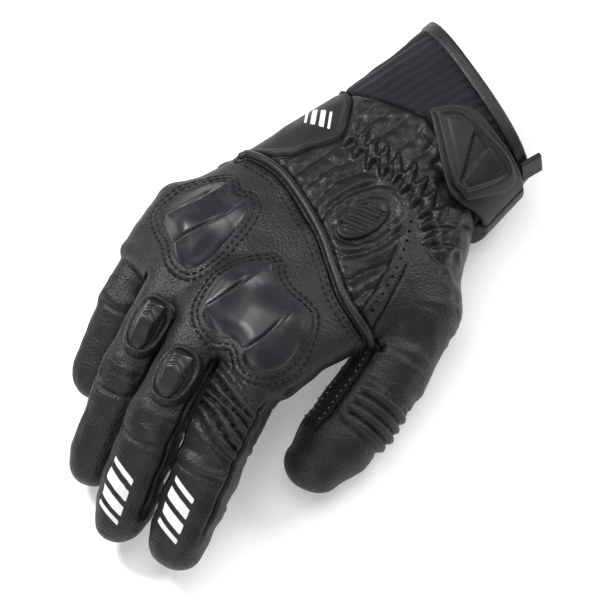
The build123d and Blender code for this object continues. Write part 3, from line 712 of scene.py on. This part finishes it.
# Fingers: side seams, stretch ribs on the index finger, and creases where the leather bends.
for number, name in enumerate(FINGERS):
    m = finger_of == number
    s, ang = finger_frame(name, points[m])
    mid = lower_length(name)
    width = FINGERS[name][0]
    add = np.zeros(m.sum())
    near_tip = step(mid + 44, mid + 30, s)
    for seam in (32, 148):
        gap = (ang - seam) * math.pi / 180 * width / 2
        add += (-0.8 * bump(gap, 0.7) + 0.35 * bump(np.abs(gap) - 2.0, 1.0)) * step(0, 6, s) * near_tip
        # Painted shade along each side seam.
        groove[m] = np.maximum(groove[m], bump(gap, 0.5) * step(2, 6, s) * near_tip)
    palmar = step(10, -40, ang) + step(170, 200, ang)
    for at, deep in ((mid - 3, 1.0), (mid + 3, 1.2), (mid + 24, 0.9), (2, 0.7), (mid + 28, 0.5)):
        add -= deep * bump(s - at + 0.8 * np.sin(ang / 14), 1.1) * palmar
    if name == "index":
        t = s - 3.5 - 0.42 * (points[m][:, 0] - finger_line(name)[2])
        window = step(-0.8, 0.8, t) * step(20.8, 19.2, t) * step(33, 40, ang) * step(150, 143, ang)
        rib = np.sin(math.pi * t / INDEX_RIB_PITCH)
        add += window * (2.3 * np.abs(rib) ** 0.9 - 1.2)
        add -= 0.9 * (bump(t + 1.2, 0.7) + bump(t - 21.2, 0.7)) * step(30, 36, ang) * step(152, 146, ang)
        # Painted shade in the troughs between the ribs.
        groove[m] = np.maximum(groove[m], window * np.exp(-(rib / 0.35) ** 2))
        crease_at = mid + 12
    else:
        crease_at = mid + (5 if name in SLIDERS else -2)
    dorsal = step(25, 60, ang) * step(160, 125, ang)
    fold = 0.4 * np.cos(np.radians(ang * 2.0)) * 3.0
    add += dorsal * (0.9 * bump(s - crease_at + fold, 1.8) - 0.9 * bump(s - crease_at - 3.4 + fold, 1.0))
    add += dorsal * 0.25 * waves(points[m], 5.5, 20 + number, (2.4, 1, 1)) * bump(s - crease_at, 9)
    if name == "little":
        for at in (-3, 1.5, 6):
            add -= 0.8 * dorsal * bump(s - at + 1.2 * np.sin(ang / 20), 0.9)
    relief[m] += add

# Thumb: stretch ribs over its joint, a seam along the grip patch, and folds at its root.
s_thumb, ang_thumb = thumb_frame(points)
t = s_thumb - (THUMB_LENGTH - 12)
window = step(-1, 1, t) * step(20.5, 18.5, t) * step(-62, -50, ang_thumb) * step(
    112, 100, ang_thumb)
rib = np.sin(math.pi * t / THUMB_RIB_PITCH)
thumb_rib = window * (2.2 * np.abs(rib) ** 0.9 - 1.2)
# Painted shade in the troughs between the thumb's ribs.
np.maximum(groove, is_thumb * window * np.exp(-(rib / 0.3) ** 2), out=groove)
relief += is_thumb * thumb_rib
relief -= is_thumb * 0.8 * (bump(t + 1.6, 0.8) + bump(t - 20.6, 0.8)) * step(-64, -54, ang_thumb) * step(
    114, 104, ang_thumb)
patch_edge = (((ang_thumb - 128 + 180) % 360) - 180) * math.pi / 180 * 14
# Painted shade along the grip patch's seam.
paint_groove_shade(patch_edge, 0.6, (to_thumb < 1.5) * (s_thumb > THUMB_PATCH[0]) * (s_thumb < THUMB_PATCH[1]))
relief -= (to_thumb < 1.5) * (s_thumb > THUMB_PATCH[0]) * step(44, 38, s_thumb) * 0.9 * bump(patch_edge, 0.8)
on_thumb_side = step(3.5, 0.5, to_thumb) * step(-45, -25, s_thumb) * step(
    THUMB_LENGTH - 12, THUMB_LENGTH - 20, s_thumb)
creases = np.sin(2 * math.pi * (s_thumb + 0.35 * (points @ K_AXIS) + 1.5 * waves(points, 20, 31)) / 7.5)
relief += on_thumb_side * 0.3 * creases * step(-0.3, 0.5, waves(points, 26, 33)) * (finger_of < 0)
web = np.array([*plan([(40, -22)])[0], 36])
from_web = np.linalg.norm(points - web, axis=1) + 1.2 * waves(points, 25, 37)
relief += (1.1 * (np.abs(np.sin(math.pi * from_web / 7.5)) ** 0.8 - 0.6) * np.exp(-from_web / 16)
           * (strip_side < 0) * (labels == 0) * step(-0.4, 0.2, normals[:, 2]))
relief *= np.clip((CUFF_END - v_all) / 3.0, 0, 1)
clear_of_floor = np.where(normals[:, 2] < 0, np.minimum(relief, np.maximum(z_all - 0.4, 0)), relief)
points = points + normals * clear_of_floor[:, None]
points = relax(points, quads, 1)
normals = normals_of(points, quads)

# Plain pale stripes on two fingertips and on the little-finger side patch.
mark = np.zeros(len(points))


def stripes(along, across, pitch, width, reach, side):
    """Slanted parallel bars, as a value that passes a half at their edges."""
    slanted = along + 0.45 * across
    bar = np.abs((slanted / pitch - np.floor(slanted / pitch)) * pitch - pitch / 2) - width / 2
    gap = np.maximum(np.maximum(bar, np.abs(slanted) - reach), np.abs(across) - side)
    return np.clip(0.5 - gap / 3, 0, 1)


for number, name in enumerate(FINGERS):
    if name not in ("index", "middle"):
        continue
    m = finger_of == number
    s, ang = finger_frame(name, points[m])
    mid = lower_length(name)
    w = np.radians(ang - 100) * FINGERS[name][0] / 2
    mark[m] = stripes(s - mid - 33, w, 6.6, 4.2, 9.9, 6.0) * step(20, 40, ang)
badge_u, badge_v = plan([(-21, 60)])[0]
mark = np.maximum(mark, stripes(x_all - badge_u, y_all - badge_v, 4.2, 2.4, 6.3, 4.6) * (patch_d < -2) * back)

# ---- skin pieces ---------------------------------------------------------------------------------
SKIN_MATERIALS = [GRAIN, THIN, PALM, SMOOTH, NEOPRENE, PATCH]
kind = np.zeros(len(points), int)
kind[thin] = 1
kind[(normals[:, 2] < -0.25) & (labels <= 1)] = 2
kind[(patch_d < 0) & (wristward > 0) & (back > 0.02) & hand_or_wrist] = 3
kind[on_cuff | ((v_all > 96) & (back <= 0.02))] = 4
kind[(to_thumb < 1.5) & (s_thumb > THUMB_PATCH[0]) & (patch_edge > 0) & (patch_edge < 26)
     & (labels != 1) & (s_thumb < THUMB_PATCH[1]) & (finger_of < 0)] = 5
face_kind = np.median(kind[quads], axis=1).astype(int)
face_label = labels[quads].min(axis=1)
face_normal_v = (normals[quads].mean(axis=1)[:, :2] @ ALONG)
mouth = (v_all[quads].min(axis=1) > CUFF_END - 1.2) & (face_normal_v > 0.6)
REPLACED = {
    "hand_skin": ["knuckle_back_panel", "wrist_back_panel", "palm_panel", "thumb_saddle",
                  "finger_base_creases", "side_badge_patch"],
    "wrist_skin": ["wrist_elastic_back", "wrist_elastic_palm"],
    "cuff_skin": ["cuff_back_panel", "cuff_palm_panel"],
}
for i, name in enumerate(PIECES):
    mask = (face_label == i) & ~mouth
    used, remap = np.unique(quads[mask], return_inverse=True)
    ob = make_mesh(name, points[used], remap.reshape(-1, 4), SKIN_MATERIALS, face_kind[mask], normals[used],
                   {"mark": mark[used], "groove": groove[used]})
    part = name.split("_")[0]
    if name == "hand_skin":
        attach(ob, "hand")
    elif name == "wrist_skin":
        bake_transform(ob)
    elif name == "cuff_skin":
        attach(ob, "cuff")
    elif name == "thumb_lower_skin":
        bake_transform(ob)
    elif name == "thumb_tip_skin":
        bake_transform(ob)
    else:
        base, mid_at = joint_at(part + "_base_curl"), joint_at(part + "_middle_curl")
        d = (mid_at - base) / np.linalg.norm(mid_at - base)
        if name.endswith("lower_skin"):
            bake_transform(ob)
        else:
            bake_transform(ob)
    if name in REPLACED:
        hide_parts(*REPLACED[name])
    elif name.endswith("lower_skin"):
        ribs_node = [part + "_stretch_ribs"] if part in ("index", "thumb") else []
        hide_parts(part + "_back_lower", part + "_palm_lower", part + "_knuckle_crease", *ribs_node)
    else:
        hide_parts(part + "_back_tip", part + "_palm_tip")


# ---- fitted pieces -------------------------------------------------------------------------------
def carve(name, low, high, voxel, shape, materials, body, replaced=(), rounds=2):
    """A piece cut from a signed distance shape over a box, riding on a body."""
    low, high = np.array(low, float) - 2 * voxel, np.array(high, float) + 2 * voxel
    count = np.ceil((high - low) / voxel).astype(int)
    gx, gy, gz = (low[i] + voxel * np.arange(count[i]) for i in range(3))
    field = shape(gx[:, None, None], gy[None, :, None], gz[None, None, :]).astype(np.float32)
    pts, faces = extract(np.broadcast_to(field, count), low, voxel)
    pts = relax(pts, faces, rounds)
    ob = make_mesh(name, pts, faces, materials)
    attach(ob, body)
    if replaced:
        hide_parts(*replaced)
    return ob


def raised(z, base, height, outline_d, depth, top, foot, slope=1.0):
    """A form standing on the upper side within an outline, rounded at its top and foot."""
    up = (z - (base + height)[:, :, None]) * slope
    side = np.broadcast_to(outline_d[:, :, None], up.shape)
    return smax(smax(up, side, top), (base - depth)[:, :, None] - z, foot)


def blade_height(x, y, start, end):
    """A claw-like blade: it rises from its start and drops at its end and along one side."""
    a, b = np.array(start), np.array(end)
    d = (b - a) / np.hypot(*(b - a))
    length = np.hypot(*(b - a))
    t = ((x - a[0]) * d[0] + (y - a[1]) * d[1]) / length
    off = -((x - a[0]) * -d[1] + (y - a[1]) * d[0])
    off = off + 2.2 * np.sin(math.pi * np.clip(t, 0, 1))
    rise = np.clip(t, 0, 1) ** 0.8 * step(1.13, 1.0, t)
    gentle = np.exp(-np.maximum(-off, 0) / 7.5)
    steep = 1 - step(0.0, 1.3, off)
    groove = np.exp(-((off - 1.9) / 0.9) ** 2) * step(0.1, 0.5, t) * step(1.15, 1.0, t)
    return rise * np.where(off > 0, steep, gentle) - 0.28 * groove


FIT = 0.5  # voxel of the fitted pieces
for key, armour in ARMOUR.items():
    line = armour["line"]

    def shell(x, y, z, armour=armour, line=line):
        px, py = np.broadcast_arrays(x[:, :, 0], y[:, :, 0])
        d = inside_outline(px, py, line)
        base = top_z(px, py)
        height = 1.1 + 2.0 * step(0.5, -8, d)
        for start, end in armour["blades"]:
            a, b = plan([start])[0], plan([end])[0]
            height = height + 4.3 * blade_height(px, py, a, b) * step(0.6, -2.2, d)
        return raised(z, base, height, d + 0.1, depth=1.2, top=0.9, foot=0.5, slope=0.7)

    lo, hi = line.min(axis=0), line.max(axis=0)
    carve(key + "_armour", (lo[0], lo[1], 36), (hi[0], hi[1], 70), FIT, shell,
          [RUBBER], "hand", armour["nodes"], 1)

for name, (shift, y0, width, length) in SLIDERS.items():
    fx = joint_at(name + "_base_curl")[0] + shift
    fy = y0 + KNUCKLE_SHIFT[1]

    def frame_shape(x, y, z, fx=fx, fy=fy, width=width, length=length):
        px, py = np.broadcast_arrays(x[:, :, 0], y[:, :, 0])
        a, b = np.abs(px - fx), np.abs(py - fy)
        narrow = width / 2 * (1 - 0.012 * (fy - py))
        q = ((a / narrow) ** 2.6 + (b / (length / 2)) ** 2.6) ** (1 / 2.6)
        d = (q - 1) * width / 2
        base = top_z(px, py)
        lean = step(-0.3, 0.5, (px - fx) / width + (py - fy) / length)
        rim = 1.3 + (1.2 + 0.9 * lean) * bump(d + 1.3, 0.95) + 1.7 * lean * bump(d + 3.7, 0.8)
        return raised(z, base, rim, d, depth=2.5, top=1.4, foot=0.5)

    def block_shape(x, y, z, fx=fx, fy=fy, width=width, length=length):
        px, py = np.broadcast_arrays(x[:, :, 0], y[:, :, 0])
        w, l = width / 2 - 3.6, length / 2 - 3.2
        a, b = px - fx, py - fy
        taper = w * (1 - 0.32 * np.clip(-b / l, 0, 1))
        q = ((np.abs(a) / taper) ** 3.5 + (np.abs(b) / l) ** 3.5) ** (1 / 3.5)
        d = (q - 1) * w
        base = top_z(px, py)
        tall = np.minimum(6.2, 2.2 + 1.5 * (taper - np.abs(a)))
        tall = np.minimum(tall, 2.4 + 0.34 * (b + l))
        tall = np.minimum(tall, 2.6 + 1.1 * (l - b))
        tall = np.minimum(tall, 6.3 - 0.3 * a - 0.1 * np.abs(b))
        nested = b - l + 4.0 + 0.55 * np.abs(a)
        tall = tall - 0.7 * bump(nested, 0.55) - 0.7 * bump(nested + 3.0, 0.55)
        return raised(z, base, tall, d, depth=0.0, top=0.4, foot=0.3, slope=0.85)

    lo, hi = (fx - width / 2 - 1, fy - length / 2 - 1, 38), (fx + width / 2 + 1, fy + length / 2 + 1, 70)
    pad = carve(name + "_slider_frame", lo, hi, 0.55, frame_shape, [GRAIN], name + "_lower",
                [name + "_slider_base"])
    carve(name + "_slider", lo, hi, 0.45, block_shape, [PLASTIC], name + "_lower", [name + "_knuckle_slider"],
          1)


def badge_shape(x, y, z):
    px, py = np.broadcast_arrays(x[:, :, 0], y[:, :, 0])
    a = (px - BADGE[0]) * ct + (py - BADGE[1]) * st
    b = -(px - BADGE[0]) * st + (py - BADGE[1]) * ct
    q = (np.sqrt((a / 7.2) ** 2 + (b / 12.5) ** 2) - 1) * 7.2
    base = top_z(px, py)
    tall = 1.9 - 0.8 * bump(q + 1.8, 0.55)
    for k in (-6.6, -2.2, 2.2, 6.6):
        slot_d = np.maximum(np.abs(b - k - 0.5 * a) - 0.9, np.abs(a) - 4.2)
        tall = tall - 1.1 * step(0.5, -0.3, slot_d)
    return raised(z, base, tall, q, depth=1.5, top=1.0, foot=0.5)


carve("oval_badge", (BADGE[0] - 14, BADGE[1] - 14, 44), (BADGE[0] + 14, BADGE[1] + 14, 62), 0.5, badge_shape,
      [SMOOTH], "hand")


# Cuff: binding round the mouth, lining, strap, patches and pull tab.
def layer(low_d, high_d, outline, z_low, z_high, rim=0.0, recess=None):
    """A sheet lying on the cuff between two distances from it, within a plan outline."""
    line = smooth_line([from_uv(u, v) for u, v in outline], 0.8, closed=True)
    hole = None
    if recess is not None:
        hole = np.array([from_uv(u, v) for u, v in recess + recess[:1]])

    def shape(x, y, z):
        px, py = np.broadcast_arrays(x[:, :, 0], y[:, :, 0])
        d2 = inside_outline(px, py, line)
        thick = np.full(px.shape, float(high_d))
        if rim:
            thick = thick + rim * bump(d2 + 1.7, 1.0) - 0.4 * bump(d2 + 4.0, 0.7)
        if hole is not None:
            thick = thick - (high_d - low_d - 0.5) * step(0.7, -0.5, inside_outline(px, py, hole))
        d = hand_sd(x, y, z)
        f = smax(d - thick[:, :, None], low_d - d, 0.5)
        f = smax(f, np.broadcast_to(d2[:, :, None], f.shape), 0.7)
        return smax(smax(f, z_low - z, 0.4), z - z_high, 0.4)

    lo, hi = line.min(axis=0), line.max(axis=0)
    return shape, (lo[0], lo[1], z_low - 1), (min(hi[0], 68.0), hi[1], min(z_high, 58))


STRAP_Z = joint_at("strap_peel")[2]
STRAP = [(-14, 107), (-7, 120), (9, 124), (45, 126), (45, 104), (33, 103.5), (25, 95.5), (17, 95), (-8, 104)]
GRIP = [(-11.5, 107.5), (-5.5, 117.5), (9, 121.5), (26, 122.5), (27, 101), (23, 98), (17, 97.6),
        (-6.5, 105.5)]
TRIANGLE = [(5, 116.5), (13.5, 117), (20, 100.5)]
PATCHES = [(-9, 108), (-5, 115), (6, 119), (6, 101), (-4, 106)]
shape, lo, hi = layer(2.5, 4.6, STRAP, STRAP_Z + 0.6, 60)
carve("strap", lo, hi, FIT, shape, [SMOOTH], "strap", ["strap_leather"])
shape, lo, hi = layer(4.2, 6.0, GRIP, STRAP_Z + 9, 60, rim=0.8, recess=TRIANGLE)
carve("strap_grip", lo, hi, FIT, shape, [SMOOTH], "strap", ["strap_grip_moulding"])
shape, lo, hi = layer(1.5, 2.6, PATCHES, STRAP_Z + 0.2, 60)
carve("strap_hook", lo, hi, FIT, shape, [CLOTH], "strap", ["strap_hook_patch"])
shape, lo, hi = layer(-0.3, 1.0, PATCHES, STRAP_Z + 0.2, 60)
carve("strap_loop", lo, hi, FIT, shape, [CLOTH], "cuff", ["strap_loop_patch"])
shape, lo, hi = layer(-0.2, 4.6, STRAP, STRAP_Z - 17, STRAP_Z - 0.6)
carve("strap_anchor_band", lo, hi, FIT, shape, [SMOOTH], "cuff", ["strap_anchor"])


def binding_shape(x, y, z):
    v = to_uv(x, y)[1]
    d = hand_sd(x, y, z)
    return smax(np.abs(d + 0.7) - 1.75, np.abs(v - (CUFF_END - 1.7)) - 2.9, 1.3)


corners = np.array([from_uv(u, v) for u in (-64, 24) for v in (CUFF_END - 6, CUFF_END + 3)])
carve("cuff_edge_binding", (*corners.min(axis=0), -0.5), (*corners.max(axis=0), 53), 0.6,
      binding_shape, [PIPE], "cuff", ["cuff_binding"])


def tab_shape(x, y, z):
    u, v = to_uv(x, y)
    a, b, c = np.abs(u - 20.9) - 1.1, np.abs(v - 132.5) - 5.0, np.abs(z - 30.0) - 6.6
    return smax(smax(a, b, 0.8), c, 0.8)


binding_row = []
for u0 in np.linspace(-50, 17, 60):
    x0, y0 = from_uv(u0, CUFF_END - 5.6)
    z0 = np.linspace(60, 25, 176)
    within = np.where(hand_sd(np.full(len(z0), x0), np.full(len(z0), y0), z0) < 0)[0]
    if len(within):
        binding_row.append((x0, y0, z0[within[0]] + 0.15))

centre = np.array(from_uv(20.9, 132.5))
carve("pull_tab", (*(centre - 9), 22), (*(centre + 9), 38), 0.45, tab_shape, [SMOOTH], "cuff",
      ["cuff_pull_tab"])

inner_points, inner_quads = extract(FIELD, LOW, VOXEL, -2.4)
inner_v = to_uv(inner_points[:, 0], inner_points[:, 1])[1]
inner_reach = (inner_points - THUMB_K) @ THUMB_DIR
in_thumb = (thumb_sd(*inner_points.T) < 3.0) & (inner_reach > -8)
face_v = inner_v[inner_quads]
keep = ~in_thumb[inner_quads].any(axis=1) & (face_v.min(axis=1) > 10) & (face_v.max(axis=1) < CUFF_END - 2.6)
used, remap = np.unique(inner_quads[keep][:, ::-1], return_inverse=True)
lining = make_mesh("lining", relax(inner_points, inner_quads, 2)[used], remap.reshape(-1, 4), [CLOTH])
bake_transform(lining)
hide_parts("hand_lining", "cuff_lining")


def heel_shape(x, y, z):
    u, v = to_uv(x, y)
    plan_d = smax(np.abs(u) - 28.5, np.abs(v - 55.5) - 10.5, 5.0)
    swell = 3.4 * np.clip(-plan_d / 5.0, 0, 1) ** 0.5
    f = smax(hand_sd(x, y, z) - swell, plan_d + 0 * z, 1.5)
    return smax(smax(f, 0.05 - z, 0.5), z - 16, 1.0)


corners = np.array([from_uv(u, v) for u in (-30, 30) for v in (43, 68)])
heel = carve("palm_heel_pad", (*corners.min(axis=0), -1), (*corners.max(axis=0), 17), 0.7, heel_shape, [PALM],
             "hand", ["palm_heel_patch"])


# ---- piping and stitches -------------------------------------------------------------------------
def lay_on(line, lift):
    """A plan line laid on the glove's upper side."""
    return np.column_stack([line, top_z(line[:, 0], line[:, 1]) + lift])


def ring_faces(rings, sides, first=0):
    """Quads joining a row of rings of points, numbered from the given first point."""
    return [(first + i * sides + j, first + i * sides + (j + 1) % sides,
             first + (i + 1) * sides + (j + 1) % sides, first + (i + 1) * sides + j)
            for i in range(rings - 1) for j in range(sides)]


def tube(name, line, radius, mat, body, sides=12):
    """A round cord of leather along a line, narrowed at its open ends."""
    rings = []
    count = len(line)
    for i in range(count):
        d = line[min(i + 1, count - 1)] - line[max(i - 1, 0)]
        d = d / np.linalg.norm(d)
        a = np.cross(d, (0, 0, 1))
        a = a / np.linalg.norm(a)
        b = np.cross(a, d)
        r = radius * (0.35 if i in (0, count - 1) else 1)
        angles = np.linspace(0, 2 * math.pi, sides, endpoint=False)
        rings.append(line[i] + r * (np.cos(angles)[:, None] * a + np.sin(angles)[:, None] * b))
    pts = np.concatenate(rings)
    ob = make_mesh(name, pts, np.array(ring_faces(count, sides)), [mat])
    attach(ob, body)
    return ob


def offset_line(line, distance):
    """A plan line moved sideways."""
    d = np.gradient(line, axis=0)
    d /= np.linalg.norm(d, axis=1, keepdims=True)
    return line + distance * np.column_stack([-d[:, 1], d[:, 0]])


def stitches(name, lines, body, mat, length=2.0, gap=1.1, radius=0.34):
    """Rows of sewn stitches along lines in space."""
    pts, faces = [], []
    sides = 6
    angles = np.linspace(0, 2 * math.pi, sides, endpoint=False)
    for line in lines:
        s = np.r_[0, np.cumsum(np.linalg.norm(np.diff(line, axis=0), axis=1))]
        for start in np.arange(0.5, s[-1] - length, length + gap):
            p, q = (np.array([np.interp(at, s, line[:, k]) for k in range(3)])
                    for at in (start, start + length))
            d = (q - p) / np.linalg.norm(q - p)
            a = np.cross(d, (0, 0, 1))
            a /= np.linalg.norm(a)
            b = np.cross(a, d)
            first = len(pts) * sides
            for at, r, lift in ((0, 0.35, -0.35), (0.25, 1, 0.05), (0.75, 1, 0.05), (1, 0.35, -0.35)):
                c = p + at * (q - p) + b * lift * radius * 2
                pts.append(c + r * radius * (np.cos(angles)[:, None] * a + np.sin(angles)[:, None] * b))
            faces += ring_faces(4, sides, first)
    ob = make_mesh(name, np.concatenate(pts), np.array(faces), [mat])
    if body:
        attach(ob, body)
    return ob


piping = tube("knuckle_piping_cord", lay_on(PIPING, 0.55), 1.75, PIPE, "hand")
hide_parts("knuckle_piping")
finger_side = -4.4 if to_uv(*offset_line(PIPING, -4.4)[40])[1] < to_uv(*PIPING[40])[1] else 4.4
rows = [lay_on(offset_line(PIPING, finger_side * k)[2:-3], 0.25) for k in (1, 1.5)]
for armour in ARMOUR.values():
    line = armour["line"]
    turn = np.sum(line[:-1, 0] * line[1:, 1] - line[1:, 0] * line[:-1, 1])
    out = -1.0 if turn > 0 else 1.0
    rows.append(lay_on(smooth_line(offset_line(line, out * 2.0)[::4], 1.0), 1.0))
    rows.append(lay_on(smooth_line(offset_line(line, out * 4.4)[::4], 1.0), 0.5))
stitches("back_stitching", rows, "hand", THREAD)


def on_thumb(s, angle):
    """The point of the thumb's skin at a distance past its knuckle and an angle round it."""
    axis = THUMB_K + s / THUMB_LENGTH * (THUMB_M - THUMB_K) + max(s - THUMB_LENGTH, 0) * THUMB_LEAN
    out = math.cos(math.radians(angle)) * K_AXIS + math.sin(math.radians(angle)) * THUMB_BACK
    r = np.linspace(0, 26, 261)
    p = axis + r[:, None] * out
    cell = np.round((p - LOW) / VOXEL).astype(int)
    outside = np.where(FIELD[tuple(cell.T)] > 0)[0]
    return axis + (r[outside[0]] + 0.1) * out if len(outside) else None


joined = THUMB_M - 11 * THUMB_DIR, THUMB_M + 10 * THUMB_DIR
for name, bodies, (start, end), s_from, s_to in (
        ("thumb_patch_stitching_low", ("hand", "thumb_lower"), (THUMB_K, THUMB_K + 11 * THUMB_DIR), 1,
         THUMB_LENGTH - 12),
        ("thumb_patch_stitching_tip", ("thumb_lower", "thumb_tip"), joined, THUMB_LENGTH - 10, 38)):
    found = [[on_thumb(s, angle) for s in np.linspace(s_from, s_to, 20)] for angle in (134, 158, 180)]
    sewn = [np.array([p for p in row if p is not None]) for row in found]
    ob = stitches(name, sewn, None, PALE_THREAD, 1.1, 1.9, 0.3)
    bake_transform(ob)
stitches("binding_stitching", [np.array(binding_row)], "cuff", THREAD)
stitches("perforations", [lay_on(STRIP[3:-2], 0.15)], "hand", HOLE, 0.9, 3.4, 0.62)

# ---- stage, light and camera ---------------------------------------------------------------------
FLOOR_HALF, FLOOR_Z = 3.0, -0.0005
floor_me = bpy.data.meshes.new("floor")
floor_me.from_pydata([(i * FLOOR_HALF, j * FLOOR_HALF, FLOOR_Z)
                      for i, j in ((-1, -1), (1, -1), (1, 1), (-1, 1))], [], [(0, 1, 2, 3)])
floor = bpy.data.objects.new("floor", floor_me)
bpy.context.collection.objects.link(floor)
fm = bpy.data.materials.new("floor_white")
fm.use_nodes = True
fill(fm.node_tree, fm.node_tree.nodes["Principled BSDF"],
     {"Base Color": (0.9, 0.9, 0.9, 1), "Roughness": 0.9, "Emission Color": (1, 1, 1, 1),
      "Emission Strength": 0.25})
floor_me.materials.append(fm)

scene = bpy.context.scene
scene.view_settings.view_transform = "Standard"
world = bpy.data.worlds.new("studio")
world.use_nodes = True
fill(world.node_tree, world.node_tree.nodes["Background"], {"Color": (1, 1, 1, 1), "Strength": 0.26})
scene.world = world


def area_light(name, at, size, power, target=(0, 0, 0.02)):
    data = bpy.data.lights.new(name, "AREA")
    data.shape, data.size, data.size_y, data.energy = "RECTANGLE", size[0], size[1], power
    ob = bpy.data.objects.new(name, data)
    ob.location = at
    ob.rotation_euler = (Vector(target) - Vector(at)).to_track_quat("-Z", "Y").to_euler()
    bpy.context.collection.objects.link(ob)


area_light("key", (-0.64, 0.08, 0.85), (0.26, 0.26), 10.0)
area_light("rim", (0.45, 0.72, 0.62), (0.5, 0.25), 5.0)
area_light("top", (0.0, 0.1, 1.2), (0.9, 0.9), 5.5)
area_light("low_fill", (0.1, -0.9, 0.5), (0.6, 0.3), 3.0)

# The camera's directions and aim were fitted to the reference view by a helper program.
DISTANCE, VIEW_WIDTH = 2.4, 0.246
RIGHT = Vector((0.87052, 0.48571, -0.07925))
UP = Vector((-0.40218, 0.79493, 0.45424))
BACK = RIGHT.cross(UP).normalized()
UP = BACK.cross(RIGHT).normalized()
aim = RIGHT * 0.000447 + UP * 0.005665 + BACK * 0.025
cam_data = bpy.data.cameras.new("camera")
cam = bpy.data.objects.new("camera", cam_data)
bpy.context.collection.objects.link(cam)
cam.matrix_world = Matrix([(RIGHT[i], UP[i], BACK[i], aim[i] + BACK[i] * DISTANCE) for i in range(3)]
                          + [(0, 0, 0, 1)])
cam_data.sensor_width = 36.0
cam_data.lens = 36.0 * DISTANCE / VIEW_WIDTH
cam_data.clip_end = 20.0
scene.camera = cam
